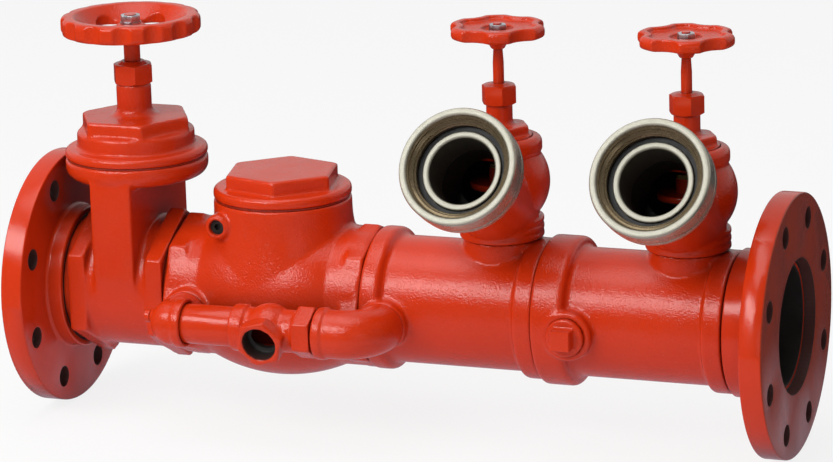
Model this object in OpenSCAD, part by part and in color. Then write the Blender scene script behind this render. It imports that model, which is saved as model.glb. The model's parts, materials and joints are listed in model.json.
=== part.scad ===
// Fire department connection: a flanged run with a gate valve, a swing check valve with a
// bypass, and a two-outlet manifold that carries two angle hose valves with swivel inlets.
// X runs along the pipe from the left flange's face, Z is up, the inlets look along -Y.

/* [Flanges] */
// Radius of both end flanges
flange_r = 110; // [100:1:120]
// Thickness of both end flanges
flange_t = 19; // [14:0.5:26]
// Radius of the bolt circle
bolt_circle_r = 90; // [84:1:94]
// Radius of each bolt hole
bolt_hole_r = 9; // [6:0.5:10]
// Number of bolt holes in each flange
bolt_count = 8; // [4:4:12]
// Radius of the threaded hub behind each flange
hub_r = 61.5; // [60:0.5:66]
// Length of the left flange's hub
left_hub_l = 14; // [8:1:30]
// Length of the right flange's hub
right_hub_l = 28; // [12:1:40]
// Radius of the recess round the pipe's end in each flange face
face_recess_r = 56.3; // [55:0.1:60]
// Depth of that recess
face_recess_d = 9; // [4:1:12]

/* [Pipe bores] */
// Radius of the main water way
bore_r = 49; // [40:0.5:50]
// Radius of the main pipe threads
thread_r = 54; // [53:0.25:55]
// Length of each main thread
thread_l = 16; // [10:1:18]
// Radial clearance in every threaded or seated joint
seat_gap = 0.05; // [0.02:0.01:0.1]
// Radial clearance of everything that turns or slides
run_gap = 0.05; // [0.02:0.01:0.09]
// Clearance between moving pieces that only pass each other
pass_gap = 0.4; // [0.3:0.1:1]

/* [Gate valve] */
// Length of the gate valve over its hexagon ends
gate_len = 88; // [80:1:100]
// Gap of bare pipe between the left flange and the gate valve
gate_nipple_gap = 5.5; // [2:0.5:15]
// Corner radius of the hexagon ends
gate_hex_r = 66; // [64:0.5:70]
// Length of each hexagon end
gate_hex_l = 16; // [12:0.5:18]
// Radius of the round belly
gate_belly_r = 56.5; // [55.5:0.5:57]
// Thickness of the flat neck along the pipe
gate_neck_t = 38; // [34:1:44]
// Width of the flat neck across the pipe
gate_neck_w = 118; // [112:1:121]
// Radius of the water way through the gate
gate_port_r = 43; // [36:0.5:44]
// Radius of the body collar and the bonnet flange
gate_collar_r = 61.5; // [61:0.5:66]
// Height of the joint between body and bonnet
gate_joint_z = 111; // [109:1:116]
// Thickness of the body collar
gate_collar_t = 17; // [12:1:20]
// Thickness of the bonnet flange
bonnet_flange_t = 8; // [6:0.5:9]
// Radius of the bonnet's round shoulder
bonnet_shoulder_r = 50.5; // [50:0.5:56]
// Corner radius of the bonnet's hexagon
bonnet_hex_r = 50; // [48:0.5:50]
// Height of the bonnet hexagon's top
bonnet_hex_z = 147; // [147:1:152]
// Radius of the bonnet neck
bonnet_neck_r = 15; // [14:0.5:16]
// Height of the neck's top
bonnet_neck_z = 174; // [172:1:180]
// Radius of the stem where it shows
gate_stem_r = 7; // [6:0.25:7.5]
// Radius of the stem's thread
gate_screw_r = 6.5; // [5:0.25:6.75]
// Corner radius of the gland nut
gate_nut_r = 18; // [17:0.25:20]
// Height of the gland nut
gate_nut_h = 17.5; // [15:0.5:20]
// Radius of the wedge
wedge_r = 45.5; // [45:0.5:46]
// Thickness of the wedge at its middle
wedge_t = 22; // [20:0.5:23]
// Slope of each wedge face in degrees
wedge_slope = 2.5; // [1:0.5:3]
// Lift of the wedge, which rests fully open
wedge_lift = 88; // [80:1:89]

/* [Gate handwheel] */
// Outer radius of the gate handwheel
gate_wheel_r = 60; // [54:1:70]
// Depth of its rim
gate_wheel_h = 16; // [13:0.5:19]
// Height of the underside of its rim
gate_wheel_z = 218.5; // [216:0.5:224]
// Number of lobes round its rim
gate_lobes = 14; // [8:1:15]
// Number of round windows in its dish
gate_windows = 5; // [3:1:5]
// Radius of each window
gate_window_r = 11; // [8:0.5:11.5]
// Turn of the gate handwheel about its stem
gate_wheel_turn = 7; // [0:1:72]
// Radius of the hollows between its lobes
gate_hollow_r = 12; // [10:0.5:13]
// Depth of the hollows between its lobes
gate_hollow_d = 3.5; // [2:0.25:4]
// How far the rim stands above the hub
gate_hub_drop = 8; // [6:0.5:9]

/* [Check valve] */
// Length of the check valve over its octagon ends
check_len = 178; // [176:1:190]
// Gap between gate valve and check valve
check_gap = 2; // [1:0.5:6]
// Corner radius of the octagon ends
check_oct_r = 63; // [62:0.5:66]
// Length of each octagon end
check_oct_l = 17; // [14:0.5:18]
// Largest radius of the belly
check_belly_r = 72.5; // [70:0.5:74]
// Half the length of the belly
check_belly_l = 76; // [72:1:78]
// Radius of the round neck beside each octagon
check_neck_r = 59.5; // [58.5:0.5:61]
// Radius of the upright chamber
chamber_r = 59; // [57:0.5:60]
// Wall of the check valve
check_wall = 7; // [6:0.5:8]
// Height of the chamber's rim
chamber_z = 83; // [80:1:86]
// Thickness of the cap's round flange
cap_flange_t = 9; // [7:0.5:12]
// Corner radius of the cap's hexagon
cap_hex_r = 51; // [46:0.5:54]
// Height of the cap's hexagon
cap_hex_h = 13; // [9:0.5:16]
// Turn of the cap's hexagon
cap_turn = -17; // [-30:1:30]
// Radius of the check valve's seat
check_seat_r = 42; // [36:0.5:43]
// Radius of the clapper
clapper_r = 46; // [44:0.5:47]
// Height of the clapper's hinge pin
hinge_z = 66; // [64:0.5:67]
// Distance of the hinge pin from the middle of the check valve
hinge_dx = 38.5; // [37:0.5:40]
// Radius of the hinge pin
hinge_pin_r = 5; // [4:0.25:5.5]

/* [Bypass] */
// Distance of the bypass line in front of the main pipe
bypass_y = 94; // [94:1:100]
// Height of the bypass line
bypass_z = -8; // [-12:1:-4]
// Radius of the bypass pipe
bypass_pipe_r = 16.8; // [16:0.2:17]
// Radius of the bypass water way
bypass_bore_r = 12; // [8:0.5:13]
// Radius of the left elbow
left_elbow_r = 19.5; // [19:0.25:20]
// Radius of the right elbow
right_elbow_r = 20.5; // [20:0.25:21]
// Radius of the right elbow's bend
right_bend_r = 26; // [24:1:30]
// Height of the band round each elbow's mouth
elbow_band_h = 1.5; // [0.5:0.25:2.5]
// Distance of the left elbow from the middle of the check valve
left_elbow_dx = 64.5; // [62:0.5:66]
// Distance of the test port from the middle of the check valve
test_port_dx = 23.5; // [20:0.5:26]
// Radius of the round tee
tee_r = 22.3; // [21:0.1:22.5]
// Radius of the test port's mouth
test_port_r = 14.5; // [12:0.5:15]
// Corner radius of the hexagons on the tee
tee_hex_r = 22.5; // [21:0.5:23]
// Reach of the test port from the bypass line
test_port_l = 27; // [25:1:34]
// Droop of the test port in degrees
test_port_droop = 14; // [8:1:18]

/* [Manifold] */
// Outer radius of the manifold pipe
pipe_r = 54; // [53:0.5:56]
// Length of the left module's collar
left_bead_l = 17.5; // [14:0.5:20]
// Length of the right module's collar
right_bead_l = 27.5; // [20:0.5:30]
// Radius of the left module's collar
left_bead_r = 60.8; // [60:0.2:62]
// Radius of the right module's collar
right_bead_r = 62.8; // [60:0.2:64]
// Distance from a collar to the outlet beyond it
outlet_dx = 91; // [84:1:96]
// Length of bare pipe from a collar to the enlarged end
tube_l = 117; // [112:1:124]
// Radius of the enlarged end
socket_r = 59.4; // [59:0.1:61]
// Length of the enlarged end
socket_l = 17.5; // [17:0.5:24]
// Radius of each outlet boss
outlet_boss_r = 32.7; // [32:0.1:34]
// Height of each outlet boss
outlet_boss_z = 60; // [58.5:0.5:61]
// Radius of the side boss for the bypass or its plug
side_boss_r = 21; // [20:0.5:22]
// Height of the plugged side boss
side_boss_z = -5; // [-8:1:-2]
// Across flats of the plug's square head
plug_square = 17; // [14:0.5:19]

/* [Hose valves] */
// Radius of the round body
globe_r = 41; // [40:0.5:43]
// Height of the round body's middle
globe_z = 108; // [106:0.5:110]
// Radius of the ribbed foot
foot_r = 35.5; // [34:0.25:37]
// Height of the ribbed foot
foot_h = 19; // [17:0.5:20]
// Radius of the collar under the bonnet
valve_collar_r = 35; // [34:0.5:37]
// Height of the joint between valve body and bonnet
valve_joint_z = 147; // [146:0.5:149]
// Corner radius of the valve bonnet's hexagon
valve_hex_r = 25.5; // [24:0.5:28]
// Radius of the valve seat's water way
valve_seat_r = 23; // [19:0.5:24]
// Height of the valve seat
valve_seat_z = 86; // [85:0.5:88]
// Radius of the disc
disc_r = 26.4; // [25:0.2:26.6]
// Opening of the valve at rest
valve_rest_lift = 16; // [12:1:17]
// Further opening that is left above the rest position
valve_more_lift = 4; // [2:0.5:4]
// Radius of the valve stem where it shows
valve_stem_r = 4.6; // [4:0.1:4.8]
// Radius of the valve stem's thread
valve_screw_r = 6.5; // [6:0.25:7]
// Corner radius of the valve's gland nut
valve_nut_r = 15; // [14:0.25:17]
// Height of the valve's gland nut
valve_nut_h = 16.5; // [14:0.5:19]
// Outer radius of the hose valve handwheel
valve_wheel_r = 41; // [36:0.5:48]
// Height of the underside of its rim
valve_wheel_z = 230.5; // [228:0.5:236]
// Depth of its rim
valve_wheel_h = 10.5; // [9:0.5:13]
// Number of lobes round its rim
valve_lobes = 6; // [5:1:7]
// Radius of the hollows between its lobes
valve_hollow_r = 18; // [15:0.5:20]
// Depth of the hollows between its lobes
valve_hollow_d = 7; // [4:0.25:8]
// Turn of the hose valve handwheel
valve_wheel_turn = 51; // [0:1:72]

/* [Hose inlets] */
// Rise of the inlet's axis above level in degrees
inlet_rise = 30; // [28:1:34]
// Height at which the inlet's axis meets the stem's axis
inlet_z = 84; // [82:0.5:86]
// Distance of the swivel's front face along the inlet's axis
inlet_face = 122; // [118:1:128]
// Radius of the inlet's water way
inlet_bore_r = 28; // [24:0.5:28.5]
// Radius of the inlet nozzle
nozzle_r = 33.5; // [33:0.25:34]
// Outer radius of the swivel
swivel_r = 50; // [47:0.5:53]
// Length of the swivel
swivel_l = 26; // [24:0.5:30]
// Radius of the swivel's thread
swivel_thread_r = 37.6; // [37:0.1:39]
// Radius of the wide mouth in front of the thread
swivel_mouth_r = 42.5; // [41:0.5:44]

/* [Hidden] */
$fn = 64;
reach = 200;

// Places along the pipe, each worked out from the piece before it
right_gap = 1.5;
gate_x0 = flange_t + left_hub_l + gate_nipple_gap;
gate_x1 = gate_x0 + gate_len;
gate_x = gate_x0 + gate_len / 2;
check_x0 = gate_x1 + check_gap;
check_x1 = check_x0 + check_len;
check_x = check_x0 + check_len / 2;
left_tube_x = check_x1 + left_bead_l;
left_x1 = left_tube_x + tube_l + socket_l;
right_tube_x = left_x1 + right_bead_l;
right_x1 = right_tube_x + tube_l + socket_l;
right_face_x = right_x1 + right_gap + right_hub_l + flange_t;
valve_xs = [left_tube_x + outlet_dx, right_tube_x + outlet_dx];
side_boss_dx = 4;
spigot_depth = 15;
left_boss_x = left_tube_x + side_boss_dx;
right_boss_x = right_tube_x + side_boss_dx;
pipe_r_out = thread_r - seat_gap;

// Gate valve heights
gasket_t = 1.2;
collar_z = gate_joint_z - gate_collar_t;
bonnet_z = gate_joint_z + gasket_t;
cavity_t = gate_neck_t - 9.6;
cavity_w = 2 * wedge_r + 3;
wedge_boss_r = 13;
wedge_top = wedge_r + 10;
screw_end_z = wedge_top - 9;
bonnet_skirt_r = 52;
bonnet_skirt_l = 9;
thrust_z = 158;
thrust_r = 10;
gate_box_r = 10.5;
gate_spigot_r = 13;
gate_spigot_l = 10;
wheel_hub_z = gate_wheel_z - 4.5;
gate_stud_r = 5;
washer_t = 1.5;
gate_nut_z = gate_wheel_z + gate_wheel_h - gate_hub_drop + washer_t;
wheel_nut_h = 6;

// Check valve places
seat_x = check_x - hinge_dx - 1;
hinge_x = check_x - hinge_dx;
check_belly_arc = 138;
bulb_h = 74;
hinge_boss_r = 11;
hinge_boss_y = 57;
barrel_r = 9;
barrel_l = 38;
// How far back from the middle plane the pin's blind hole reaches
pin_back_y = sqrt(pow(chamber_r - check_wall, 2) - pow(hinge_dx, 2)) + 9;
cap_z = chamber_z + gasket_t;
cap_skirt_l = 7;
cap_thread_r = chamber_r - 4.5;
chamber_bore_r = chamber_r - check_wall;
clapper_t = 8;
seal_t = 3.5;
clapper_x = seat_x + pass_gap + 1.2;
arm_x = clapper_x + clapper_t + 0.2;
arm_t = 8;
eye_r = 14;
clapper_stud_r = 6;

// Bypass places
left_elbow_x = check_x - left_elbow_dx;
tee_x = check_x + test_port_dx;
tee_left_x = tee_x - 31;
tee_right_x = tee_x + 42;
tee_hex_l = 16;
test_bore_r = bypass_bore_r - 1;
left_mouth_x = left_elbow_x + 13;
right_mouth_x = tee_right_x + 2;
band_l = 8;
bypass_joint_r = 15;
check_boss_y = 68;
side_boss_y = 63;
plug_collar_r = 16;
screw_lug_l = 20;
screw_head_l = 5;
screw_r = 3.5;

// Hose valve heights
foot_z = outlet_boss_z;
collar_low_z = valve_joint_z - 13;
opening_r = disc_r + 0.6;
valve_bonnet_low_z = valve_joint_z - 17;
valve_hex_h = 9;
valve_neck_r = 11;
valve_neck_z = valve_joint_z + 26;
valve_box_r = 8;
valve_spigot_r = 10;
valve_spigot_l = 10;
disc_z = valve_seat_z + valve_rest_lift + pass_gap;
disc_low_z = disc_z + 1;
screw_low_z = disc_z + 22;
screw_high_z = screw_low_z + 33;
valve_hub_z = valve_wheel_z - 11;
// The stem tapers only above the length that enters the gland when the valve shuts
stem_taper_z = valve_neck_z + valve_nut_h + valve_rest_lift + 3;
valve_stud_r = 3.5;
spigot_r = outlet_boss_r - 5.4;
spigot_l = 15;

// Hose inlet places along its own axis
neck_end = inlet_face - 32;
throat_start = 28;
barrel_back = neck_end + 5.5;
swivel_back = inlet_face - swivel_l;
gasket_s = swivel_back + 5.5;
gasket_l = 5;
nose_s = inlet_face - 13;
wire_s = swivel_back + 2.6;
wire_r = 1.2;

valve_parts = ["body", "bonnet", "stem", "disc", "disc_seal", "disc_nut", "handwheel",
    "wheel_nut", "tailpiece", "swivel", "swivel_wire", "swivel_gasket"];

/* Shapes used by several pieces */

// Turns children drawn up Z so that they run along +X from x
module along_x(x = 0) {
    translate([x, 0, 0]) rotate([0, 90, 0]) children();
}

// Turns children drawn up Z so that they run towards -Y from the plane Y = -y
module toward_front(x, y, z) {
    translate([x, -y, z]) rotate([90, 0, 0]) children();
}

// A round bar, or a tube where r_in is given
module tube(r, r_in, h) {
    difference() {
        cylinder(r = r, h = h);
        if (r_in > 0) translate([0, 0, -1]) cylinder(r = r_in, h = h + 2);
    }
}

// A disc whose lower and upper rims are rounded by low and high
module coin(r, h, low, high) {
    rotate_extrude($fn = 96) {
        square([r - max(low, high), h]);
        translate([0, low]) square([r, h - low - high]);
        if (low > 0) {
            square([r - low, h / 2]);
            translate([r - low, low]) intersection() {
                circle(low);
                translate([0, -low]) square([low, low + 0.001]);
            }
        }
        if (high > 0) {
            translate([0, h / 2]) square([r - high, h / 2]);
            translate([r - high, h - high]) intersection() {
                circle(high);
                translate([0, -0.001]) square([high, high + 0.001]);
            }
        }
    }
}

// A prism of n sides with its corners turned down at the ends
module nut_block(n, r, h, low = 1, high = 1) {
    intersection() {
        cylinder(r = r, h = h, $fn = n);
        union() {
            cylinder(r1 = r - 1.7 * low, r2 = r, h = low, $fn = 64);
            translate([0, 0, low]) cylinder(r = r, h = h - low - high, $fn = 64);
            translate([0, 0, h - high])
                cylinder(r1 = r, r2 = r - 1.7 * high, h = high, $fn = 64);
        }
    }
}

// A solid round Z whose radius follows a list of [radius, height] points
module lathe(points) {
    low = points[0];
    high = points[len(points) - 1];
    rotate_extrude($fn = 96) polygon(concat([[0, low[1]]], points, [[0, high[1]]]));
}

// The ring that fills a corner between a post of radius r and the floor below it
module corner_fillet(r, size) {
    rotate_extrude($fn = 96) difference() {
        translate([r - 1, -1]) square([size + 1, size + 1]);
        translate([r + size, size]) circle(size);
    }
}

/* Flanges and nipples of the main run */

// An end flange: face at z = 0, hub towards +z, recess round the pipe's end in the face
module flange(hub_l) {
    difference() {
        union() {
            coin(flange_r, flange_t, 1.5, 1.5);
            cylinder(r = hub_r, h = flange_t + hub_l - 1);
            translate([0, 0, flange_t + hub_l - 1])
                cylinder(r1 = hub_r, r2 = hub_r - 1, h = 1);
            translate([0, 0, flange_t]) corner_fillet(hub_r, 3);
        }
        translate([0, 0, -1]) cylinder(r = thread_r, h = flange_t + hub_l + 2);
        translate([0, 0, -1]) cylinder(r = face_recess_r, h = face_recess_d + 1);
        for (i = [0 : bolt_count - 1])
            rotate([0, 0, (i + 0.5) * 360 / bolt_count])
                translate([bolt_circle_r, 0, -1]) cylinder(r = bolt_hole_r, h = flange_t + 2);
    }
}

module left_flange() {
    color("firebrick") along_x() flange(left_hub_l);
}

module right_flange() {
    color("firebrick") translate([right_face_x, 0, 0]) rotate([0, -90, 0]) flange(right_hub_l);
}

module left_nipple() {
    color("firebrick") along_x(face_recess_d)
        tube(pipe_r_out, bore_r, gate_x0 + thread_l - face_recess_d);
}

module centre_nipple() {
    color("firebrick") along_x(gate_x1 - thread_l)
        tube(pipe_r_out, bore_r, 2 * thread_l + check_gap);
}

module right_nipple() {
    color("firebrick") along_x(right_x1 - thread_l)
        tube(pipe_r_out, bore_r, thread_l + right_face_x - face_recess_d - right_x1);
}

/* Gate valve */

// The outline of the belly and flat neck, seen along the pipe
module gate_neck_outline() {
    drop = 8;
    circle(gate_belly_r);
    polygon([
        [-gate_neck_w / 2, collar_z + 4], [gate_neck_w / 2, collar_z + 4],
        [gate_neck_w / 2, 16], [gate_belly_r - 0.6, -drop],
        [0.6 - gate_belly_r, -drop], [-gate_neck_w / 2, 16]]);
}

// The wedge's two sloping faces as one block, grown by gap, with its middle at z = 0
module wedge_block(gap) {
    low = -60;
    high = 130;
    half_low = wedge_t / 2 + gap + low * tan(wedge_slope);
    half_high = wedge_t / 2 + gap + high * tan(wedge_slope);
    translate([gate_x, reach / 2, 0]) rotate([90, 0, 0]) linear_extrude(reach)
        polygon([[-half_low, low], [half_low, low], [half_high, high], [-half_high, high]]);
}

module gate_body() {
    color("orangered") difference() {
        union() {
            along_x(gate_x0) nut_block(6, gate_hex_r, gate_hex_l, 1, 2);
            along_x(gate_x1 - gate_hex_l) nut_block(6, gate_hex_r, gate_hex_l, 2, 1);
            along_x(gate_x0 + 4) cylinder(r = gate_belly_r, h = gate_len - 8);
            translate([gate_x - gate_neck_t / 2, 0, 0]) rotate([90, 0, 90])
                linear_extrude(gate_neck_t) gate_neck_outline();
            translate([gate_x, 0, collar_z]) coin(gate_collar_r, gate_collar_t, 10, 1.5);
        }
        along_x(gate_x0 - 1) cylinder(r = gate_port_r, h = gate_len + 2);
        along_x(gate_x0 - 1) cylinder(r = thread_r, h = thread_l + 1);
        along_x(gate_x1 - thread_l) cylinder(r = thread_r, h = thread_l + 1);
        difference() {
            union() {
                along_x(gate_x - cavity_t / 2) cylinder(r = cavity_w / 2, h = cavity_t);
                translate([gate_x - cavity_t / 2, -cavity_w / 2, 0])
                    cube([cavity_t, cavity_w, gate_joint_z + 1]);
            }
            gate_seats();
        }
        translate([gate_x, 0, gate_joint_z - bonnet_skirt_l - 1])
            cylinder(r = bonnet_skirt_r, h = bonnet_skirt_l + 2);
    }
}

// The two seat rings that stand in from the cavity's walls to the wedge
module gate_seats() {
    difference() {
        along_x(gate_x - cavity_t / 2 - 1) cylinder(r = gate_port_r + 3, h = cavity_t + 2);
        wedge_block(pass_gap - 0.1);
    }
}

module gate_bonnet() {
    shoulder_z = bonnet_z + bonnet_flange_t;
    hex_z = bonnet_hex_z - 15;
    color("orangered") translate([gate_x, 0, 0]) difference() {
        union() {
            translate([0, 0, bonnet_z]) coin(gate_collar_r, bonnet_flange_t, 1.5, 4);
            translate([0, 0, bonnet_z + 2])
                coin(bonnet_shoulder_r, hex_z + 3 - bonnet_z - 2, 0, 3);
            translate([0, 0, hex_z]) nut_block(6, bonnet_hex_r, bonnet_hex_z - hex_z, 1, 1.5);
            translate([0, 0, gate_joint_z - bonnet_skirt_l])
                cylinder(r = bonnet_skirt_r - seat_gap, h = bonnet_skirt_l + 4);
            translate([0, 0, bonnet_hex_z]) corner_fillet(bonnet_neck_r, 7);
            translate([0, 0, bonnet_hex_z - 2])
                cylinder(r = bonnet_neck_r, h = bonnet_neck_z - bonnet_hex_z + 2);
            translate([0, 0, bonnet_neck_z - 1])
                cylinder(r = gate_spigot_r, h = gate_spigot_l + 1);
        }
        translate([0, 0, gate_joint_z - bonnet_skirt_l - 1]) gate_dome();
        cylinder(r = gate_stem_r + run_gap, h = reach);
        translate([0, 0, thrust_z]) cylinder(r = gate_box_r, h = 60);
    }
}

// The hollow of the bonnet, which takes the raised wedge
module gate_dome() {
    roof = wedge_top + wedge_lift + 1.2 - (gate_joint_z - bonnet_skirt_l - 1);
    lathe([
        [bonnet_skirt_r - 4, 0], [bonnet_skirt_r - 4, 12], [bonnet_skirt_r - 10, 20],
        [bonnet_skirt_r - 16, 27], [bonnet_skirt_r - 26, 33], [wedge_boss_r + 1.5, 37],
        [wedge_boss_r + 1.5, roof]]);
}

module gate_bonnet_gasket() {
    color("dimgray") translate([gate_x, 0, gate_joint_z])
        tube(gate_collar_r - 1.5, bonnet_skirt_r + 1, gasket_t);
}

module gate_wedge() {
    color("peru") translate([0, 0, wedge_lift]) difference() {
        union() {
            intersection() {
                along_x(gate_x - 20) cylinder(r = wedge_r, h = 40);
                wedge_block(0);
            }
            translate([gate_x, 0, wedge_r - 16])
                cylinder(r = wedge_boss_r, h = wedge_top - wedge_r + 16);
        }
        translate([gate_x, 0, screw_end_z - wedge_lift - 2])
            cylinder(r = gate_screw_r + run_gap, h = reach);
    }
}

module gate_stem() {
    color("goldenrod") translate([gate_x, 0, 0]) {
        translate([0, 0, screw_end_z]) cylinder(r = gate_screw_r, h = bonnet_hex_z - screw_end_z);
        translate([0, 0, bonnet_hex_z]) cylinder(r = gate_stem_r, h = wheel_hub_z - bonnet_hex_z);
        translate([0, 0, thrust_z + pass_gap]) cylinder(r = thrust_r, h = 4);
        translate([0, 0, wheel_hub_z - 1])
            cylinder(r = gate_stud_r, h = gate_nut_z + wheel_nut_h - wheel_hub_z + 1.5);
    }
}

module gate_packing() {
    ring_h = 4;
    color("whitesmoke") for (i = [0 : 2])
        translate([gate_x, 0, thrust_z + 5 + i * (ring_h + 0.1)])
            tube(gate_box_r - seat_gap, gate_stem_r + run_gap, ring_h);
}

module gate_gland() {
    low = thrust_z + 5 + 3 * 4.1;
    high = bonnet_neck_z + gate_nut_h - 4;
    color("goldenrod") translate([gate_x, 0, low])
        tube(gate_box_r - seat_gap, gate_stem_r + run_gap, high - low);
}

module gate_gland_nut() {
    color("orangered") translate([gate_x, 0, bonnet_neck_z + 0.3]) difference() {
        union() {
            nut_block(6, gate_nut_r, gate_nut_h, 2, 1.5);
            translate([0, 0, gate_nut_h - 0.5])
                cylinder(r1 = gate_nut_r * 0.8, r2 = gate_stem_r + 2.5, h = 3);
        }
        translate([0, 0, -1]) cylinder(r = gate_spigot_r + seat_gap, h = gate_spigot_l + 2);
        cylinder(r = gate_box_r, h = gate_nut_h - 4);
        cylinder(r = gate_stem_r + pass_gap, h = reach);
    }
}

// A handwheel's rim, round on both edges, with hollows for the fingers cut in a ring
module lobed_disc(r, lobes, hollow_r, hollow_d, h, edge) {
    difference() {
        coin(r, h, edge, edge);
        for (i = [0 : lobes - 1])
            rotate([0, 0, (i + 0.5) * 360 / lobes])
                translate([r + hollow_r - hollow_d, 0, -1]) cylinder(r = hollow_r, h = h + 2);
    }
}

module gate_handwheel() {
    rim_w = 11;
    floor_h = 4;
    dish_r = gate_wheel_r - rim_w;
    floor_r = gate_wheel_r * 0.62;
    window_at = floor_r - gate_window_r + 5;
    color("orangered") translate([gate_x, 0, gate_wheel_z])
        rotate([0, 0, gate_wheel_turn]) difference() {
            union() {
                rotate([0, 0, 10])
                    lobed_disc(gate_wheel_r, gate_lobes, gate_hollow_r, gate_hollow_d,
                        gate_wheel_h, 4.5);
                translate([0, 0, wheel_hub_z - gate_wheel_z])
                    cylinder(r = 10, h = gate_wheel_z - wheel_hub_z + gate_wheel_h - gate_hub_drop);
            }
            difference() {
                union() {
                    translate([0, 0, floor_h])
                        cylinder(r1 = floor_r, r2 = dish_r, h = gate_wheel_h - floor_h + 0.01);
                    translate([0, 0, gate_wheel_h]) cylinder(r = dish_r, h = 5);
                }
                cylinder(r = 12, h = gate_wheel_h - gate_hub_drop);
            }
            for (i = [0 : gate_windows - 1])
                rotate([0, 0, i * 360 / gate_windows]) translate([window_at, 0, -1])
                    cylinder(r = gate_window_r, h = gate_wheel_h + 2);
            translate([0, 0, wheel_hub_z - gate_wheel_z - 1])
                cylinder(r = gate_stud_r + seat_gap, h = reach);
        }
}

module gate_wheel_washer() {
    color("silver") translate([gate_x, 0, gate_wheel_z + gate_wheel_h - gate_hub_drop])
        tube(9, gate_stud_r + seat_gap, washer_t);
}

module gate_wheel_nut() {
    color("silver") translate([gate_x, 0, gate_nut_z]) difference() {
        nut_block(6, 9.2, wheel_nut_h, 0.6, 0.6);
        translate([0, 0, -1]) cylinder(r = gate_stud_r + seat_gap, h = 10);
    }
}

/* Check valve */

// Radius at height z of the bulb that blends the belly into the chamber
function bulb_at(z) =
    chamber_r + (check_belly_r - 0.8 - chamber_r) * (1 + cos(180 * z / bulb_h)) / 2;

// The belly, a barrel along the pipe, made thinner by wall
module check_belly(wall) {
    end = check_belly_l - 8;
    along_x(check_x) rotate_extrude($fn = 96) intersection() {
        translate([check_belly_r - wall - check_belly_arc, 0])
            circle(check_belly_arc, $fn = 256);
        translate([0, -end]) square([reach, 2 * end]);
    }
}

// The upright bulb between the belly's sides and the chamber, made thinner by wall
module check_bulb(wall) {
    steps = 10;
    translate([check_x, 0, 0])
        lathe([for (i = [0 : steps]) let(z = i * bulb_h / steps) [bulb_at(z) - wall, z]]);
}

module check_body() {
    color("orangered") difference() {
        union() {
            along_x(check_x0) nut_block(8, check_oct_r, check_oct_l, 1, 1);
            along_x(check_x1 - check_oct_l) nut_block(8, check_oct_r, check_oct_l, 1, 1);
            along_x(check_x0 + 4) cylinder(r = check_neck_r, h = check_len - 8);
            check_belly(0);
            check_bulb(0);
            translate([check_x, 0, 0]) coin(chamber_r, chamber_z, 0, 1);
            toward_front(hinge_x, 35, hinge_z) coin(hinge_boss_r, hinge_boss_y - 35, 0, 3);
            toward_front(left_elbow_x, 40, bypass_z)
                cylinder(r = left_elbow_r + 1, h = check_boss_y - 40);
        }
        along_x(check_x0 - 1) cylinder(r = thread_r, h = thread_l + 2);
        along_x(check_x0) cylinder(r = check_seat_r, h = check_len / 2);
        along_x(check_x1 - thread_l - 1) cylinder(r = thread_r, h = thread_l + 2);
        along_x(check_x) cylinder(r = bore_r, h = check_len / 2 - 4);
        intersection() {
            union() {
                check_belly(check_wall);
                check_bulb(check_wall);
            }
            translate([seat_x, -reach / 2, -reach / 2]) cube([check_len, reach, reach]);
        }
        translate([check_x, 0, hinge_z - 14]) cylinder(r = chamber_bore_r, h = 60);
        translate([check_x, 0, chamber_z - cap_skirt_l - 1]) cylinder(r = cap_thread_r, h = 20);
        toward_front(hinge_x, -pin_back_y, hinge_z)
            cylinder(r = hinge_pin_r + run_gap, h = pin_back_y + hinge_boss_y - 8);
        toward_front(hinge_x, hinge_boss_y - 12, hinge_z)
            cylinder(r = hinge_pin_r + 1.5, h = 20);
        toward_front(left_elbow_x, 30, bypass_z) cylinder(r = bypass_bore_r, h = 50);
        toward_front(left_elbow_x, check_boss_y - 12, bypass_z)
            cylinder(r = bypass_joint_r, h = 20);
    }
}

module check_cap() {
    color("orangered") translate([check_x, 0, 0]) difference() {
        union() {
            translate([0, 0, cap_z]) coin(chamber_r, cap_flange_t, 1, 3.5);
            translate([0, 0, cap_z + cap_flange_t - 1]) rotate([0, 0, cap_turn])
                nut_block(6, cap_hex_r, cap_hex_h + 1, 0.5, 1.5);
            translate([0, 0, chamber_z - cap_skirt_l])
                cylinder(r = cap_thread_r - seat_gap, h = cap_skirt_l + 4);
        }
        translate([0, 0, chamber_z - cap_skirt_l - 1])
            cylinder(r = cap_thread_r - 6, h = cap_skirt_l + gasket_t + 3);
    }
}

module check_cap_gasket() {
    color("dimgray") translate([check_x, 0, chamber_z])
        tube(chamber_r - 1.5, cap_thread_r + 0.3, gasket_t);
}

module clapper() {
    color("peru") difference() {
        union() {
            along_x(clapper_x) coin(clapper_r, clapper_t, 1, 2);
            along_x(clapper_x + clapper_t - 1) cylinder(r = clapper_stud_r, h = arm_t + 13);
        }
        along_x(clapper_x - 1) cylinder(r = clapper_r - 1.5, h = seal_t - 1.2 + 1);
    }
}

module clapper_seal() {
    color("dimgray") along_x(seat_x + pass_gap)
        tube(clapper_r - 1.6, check_seat_r - 8, seal_t);
}

module clapper_arm() {
    color("peru") difference() {
        union() {
            along_x(arm_x) cylinder(r = eye_r, h = arm_t);
            translate([arm_x, -barrel_r, 0]) cube([arm_t, 2 * barrel_r, hinge_z - barrel_r]);
            translate([hinge_x, -barrel_r, hinge_z - barrel_r])
                cube([arm_x + arm_t - hinge_x, 2 * barrel_r, 2 * barrel_r - 6]);
            toward_front(hinge_x, -barrel_l / 2, hinge_z) cylinder(r = barrel_r, h = barrel_l);
        }
        along_x(arm_x - 1) cylinder(r = clapper_stud_r + seat_gap, h = arm_t + 2);
        toward_front(hinge_x, -barrel_l, hinge_z)
            cylinder(r = hinge_pin_r + run_gap, h = 2 * barrel_l);
    }
}

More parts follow.
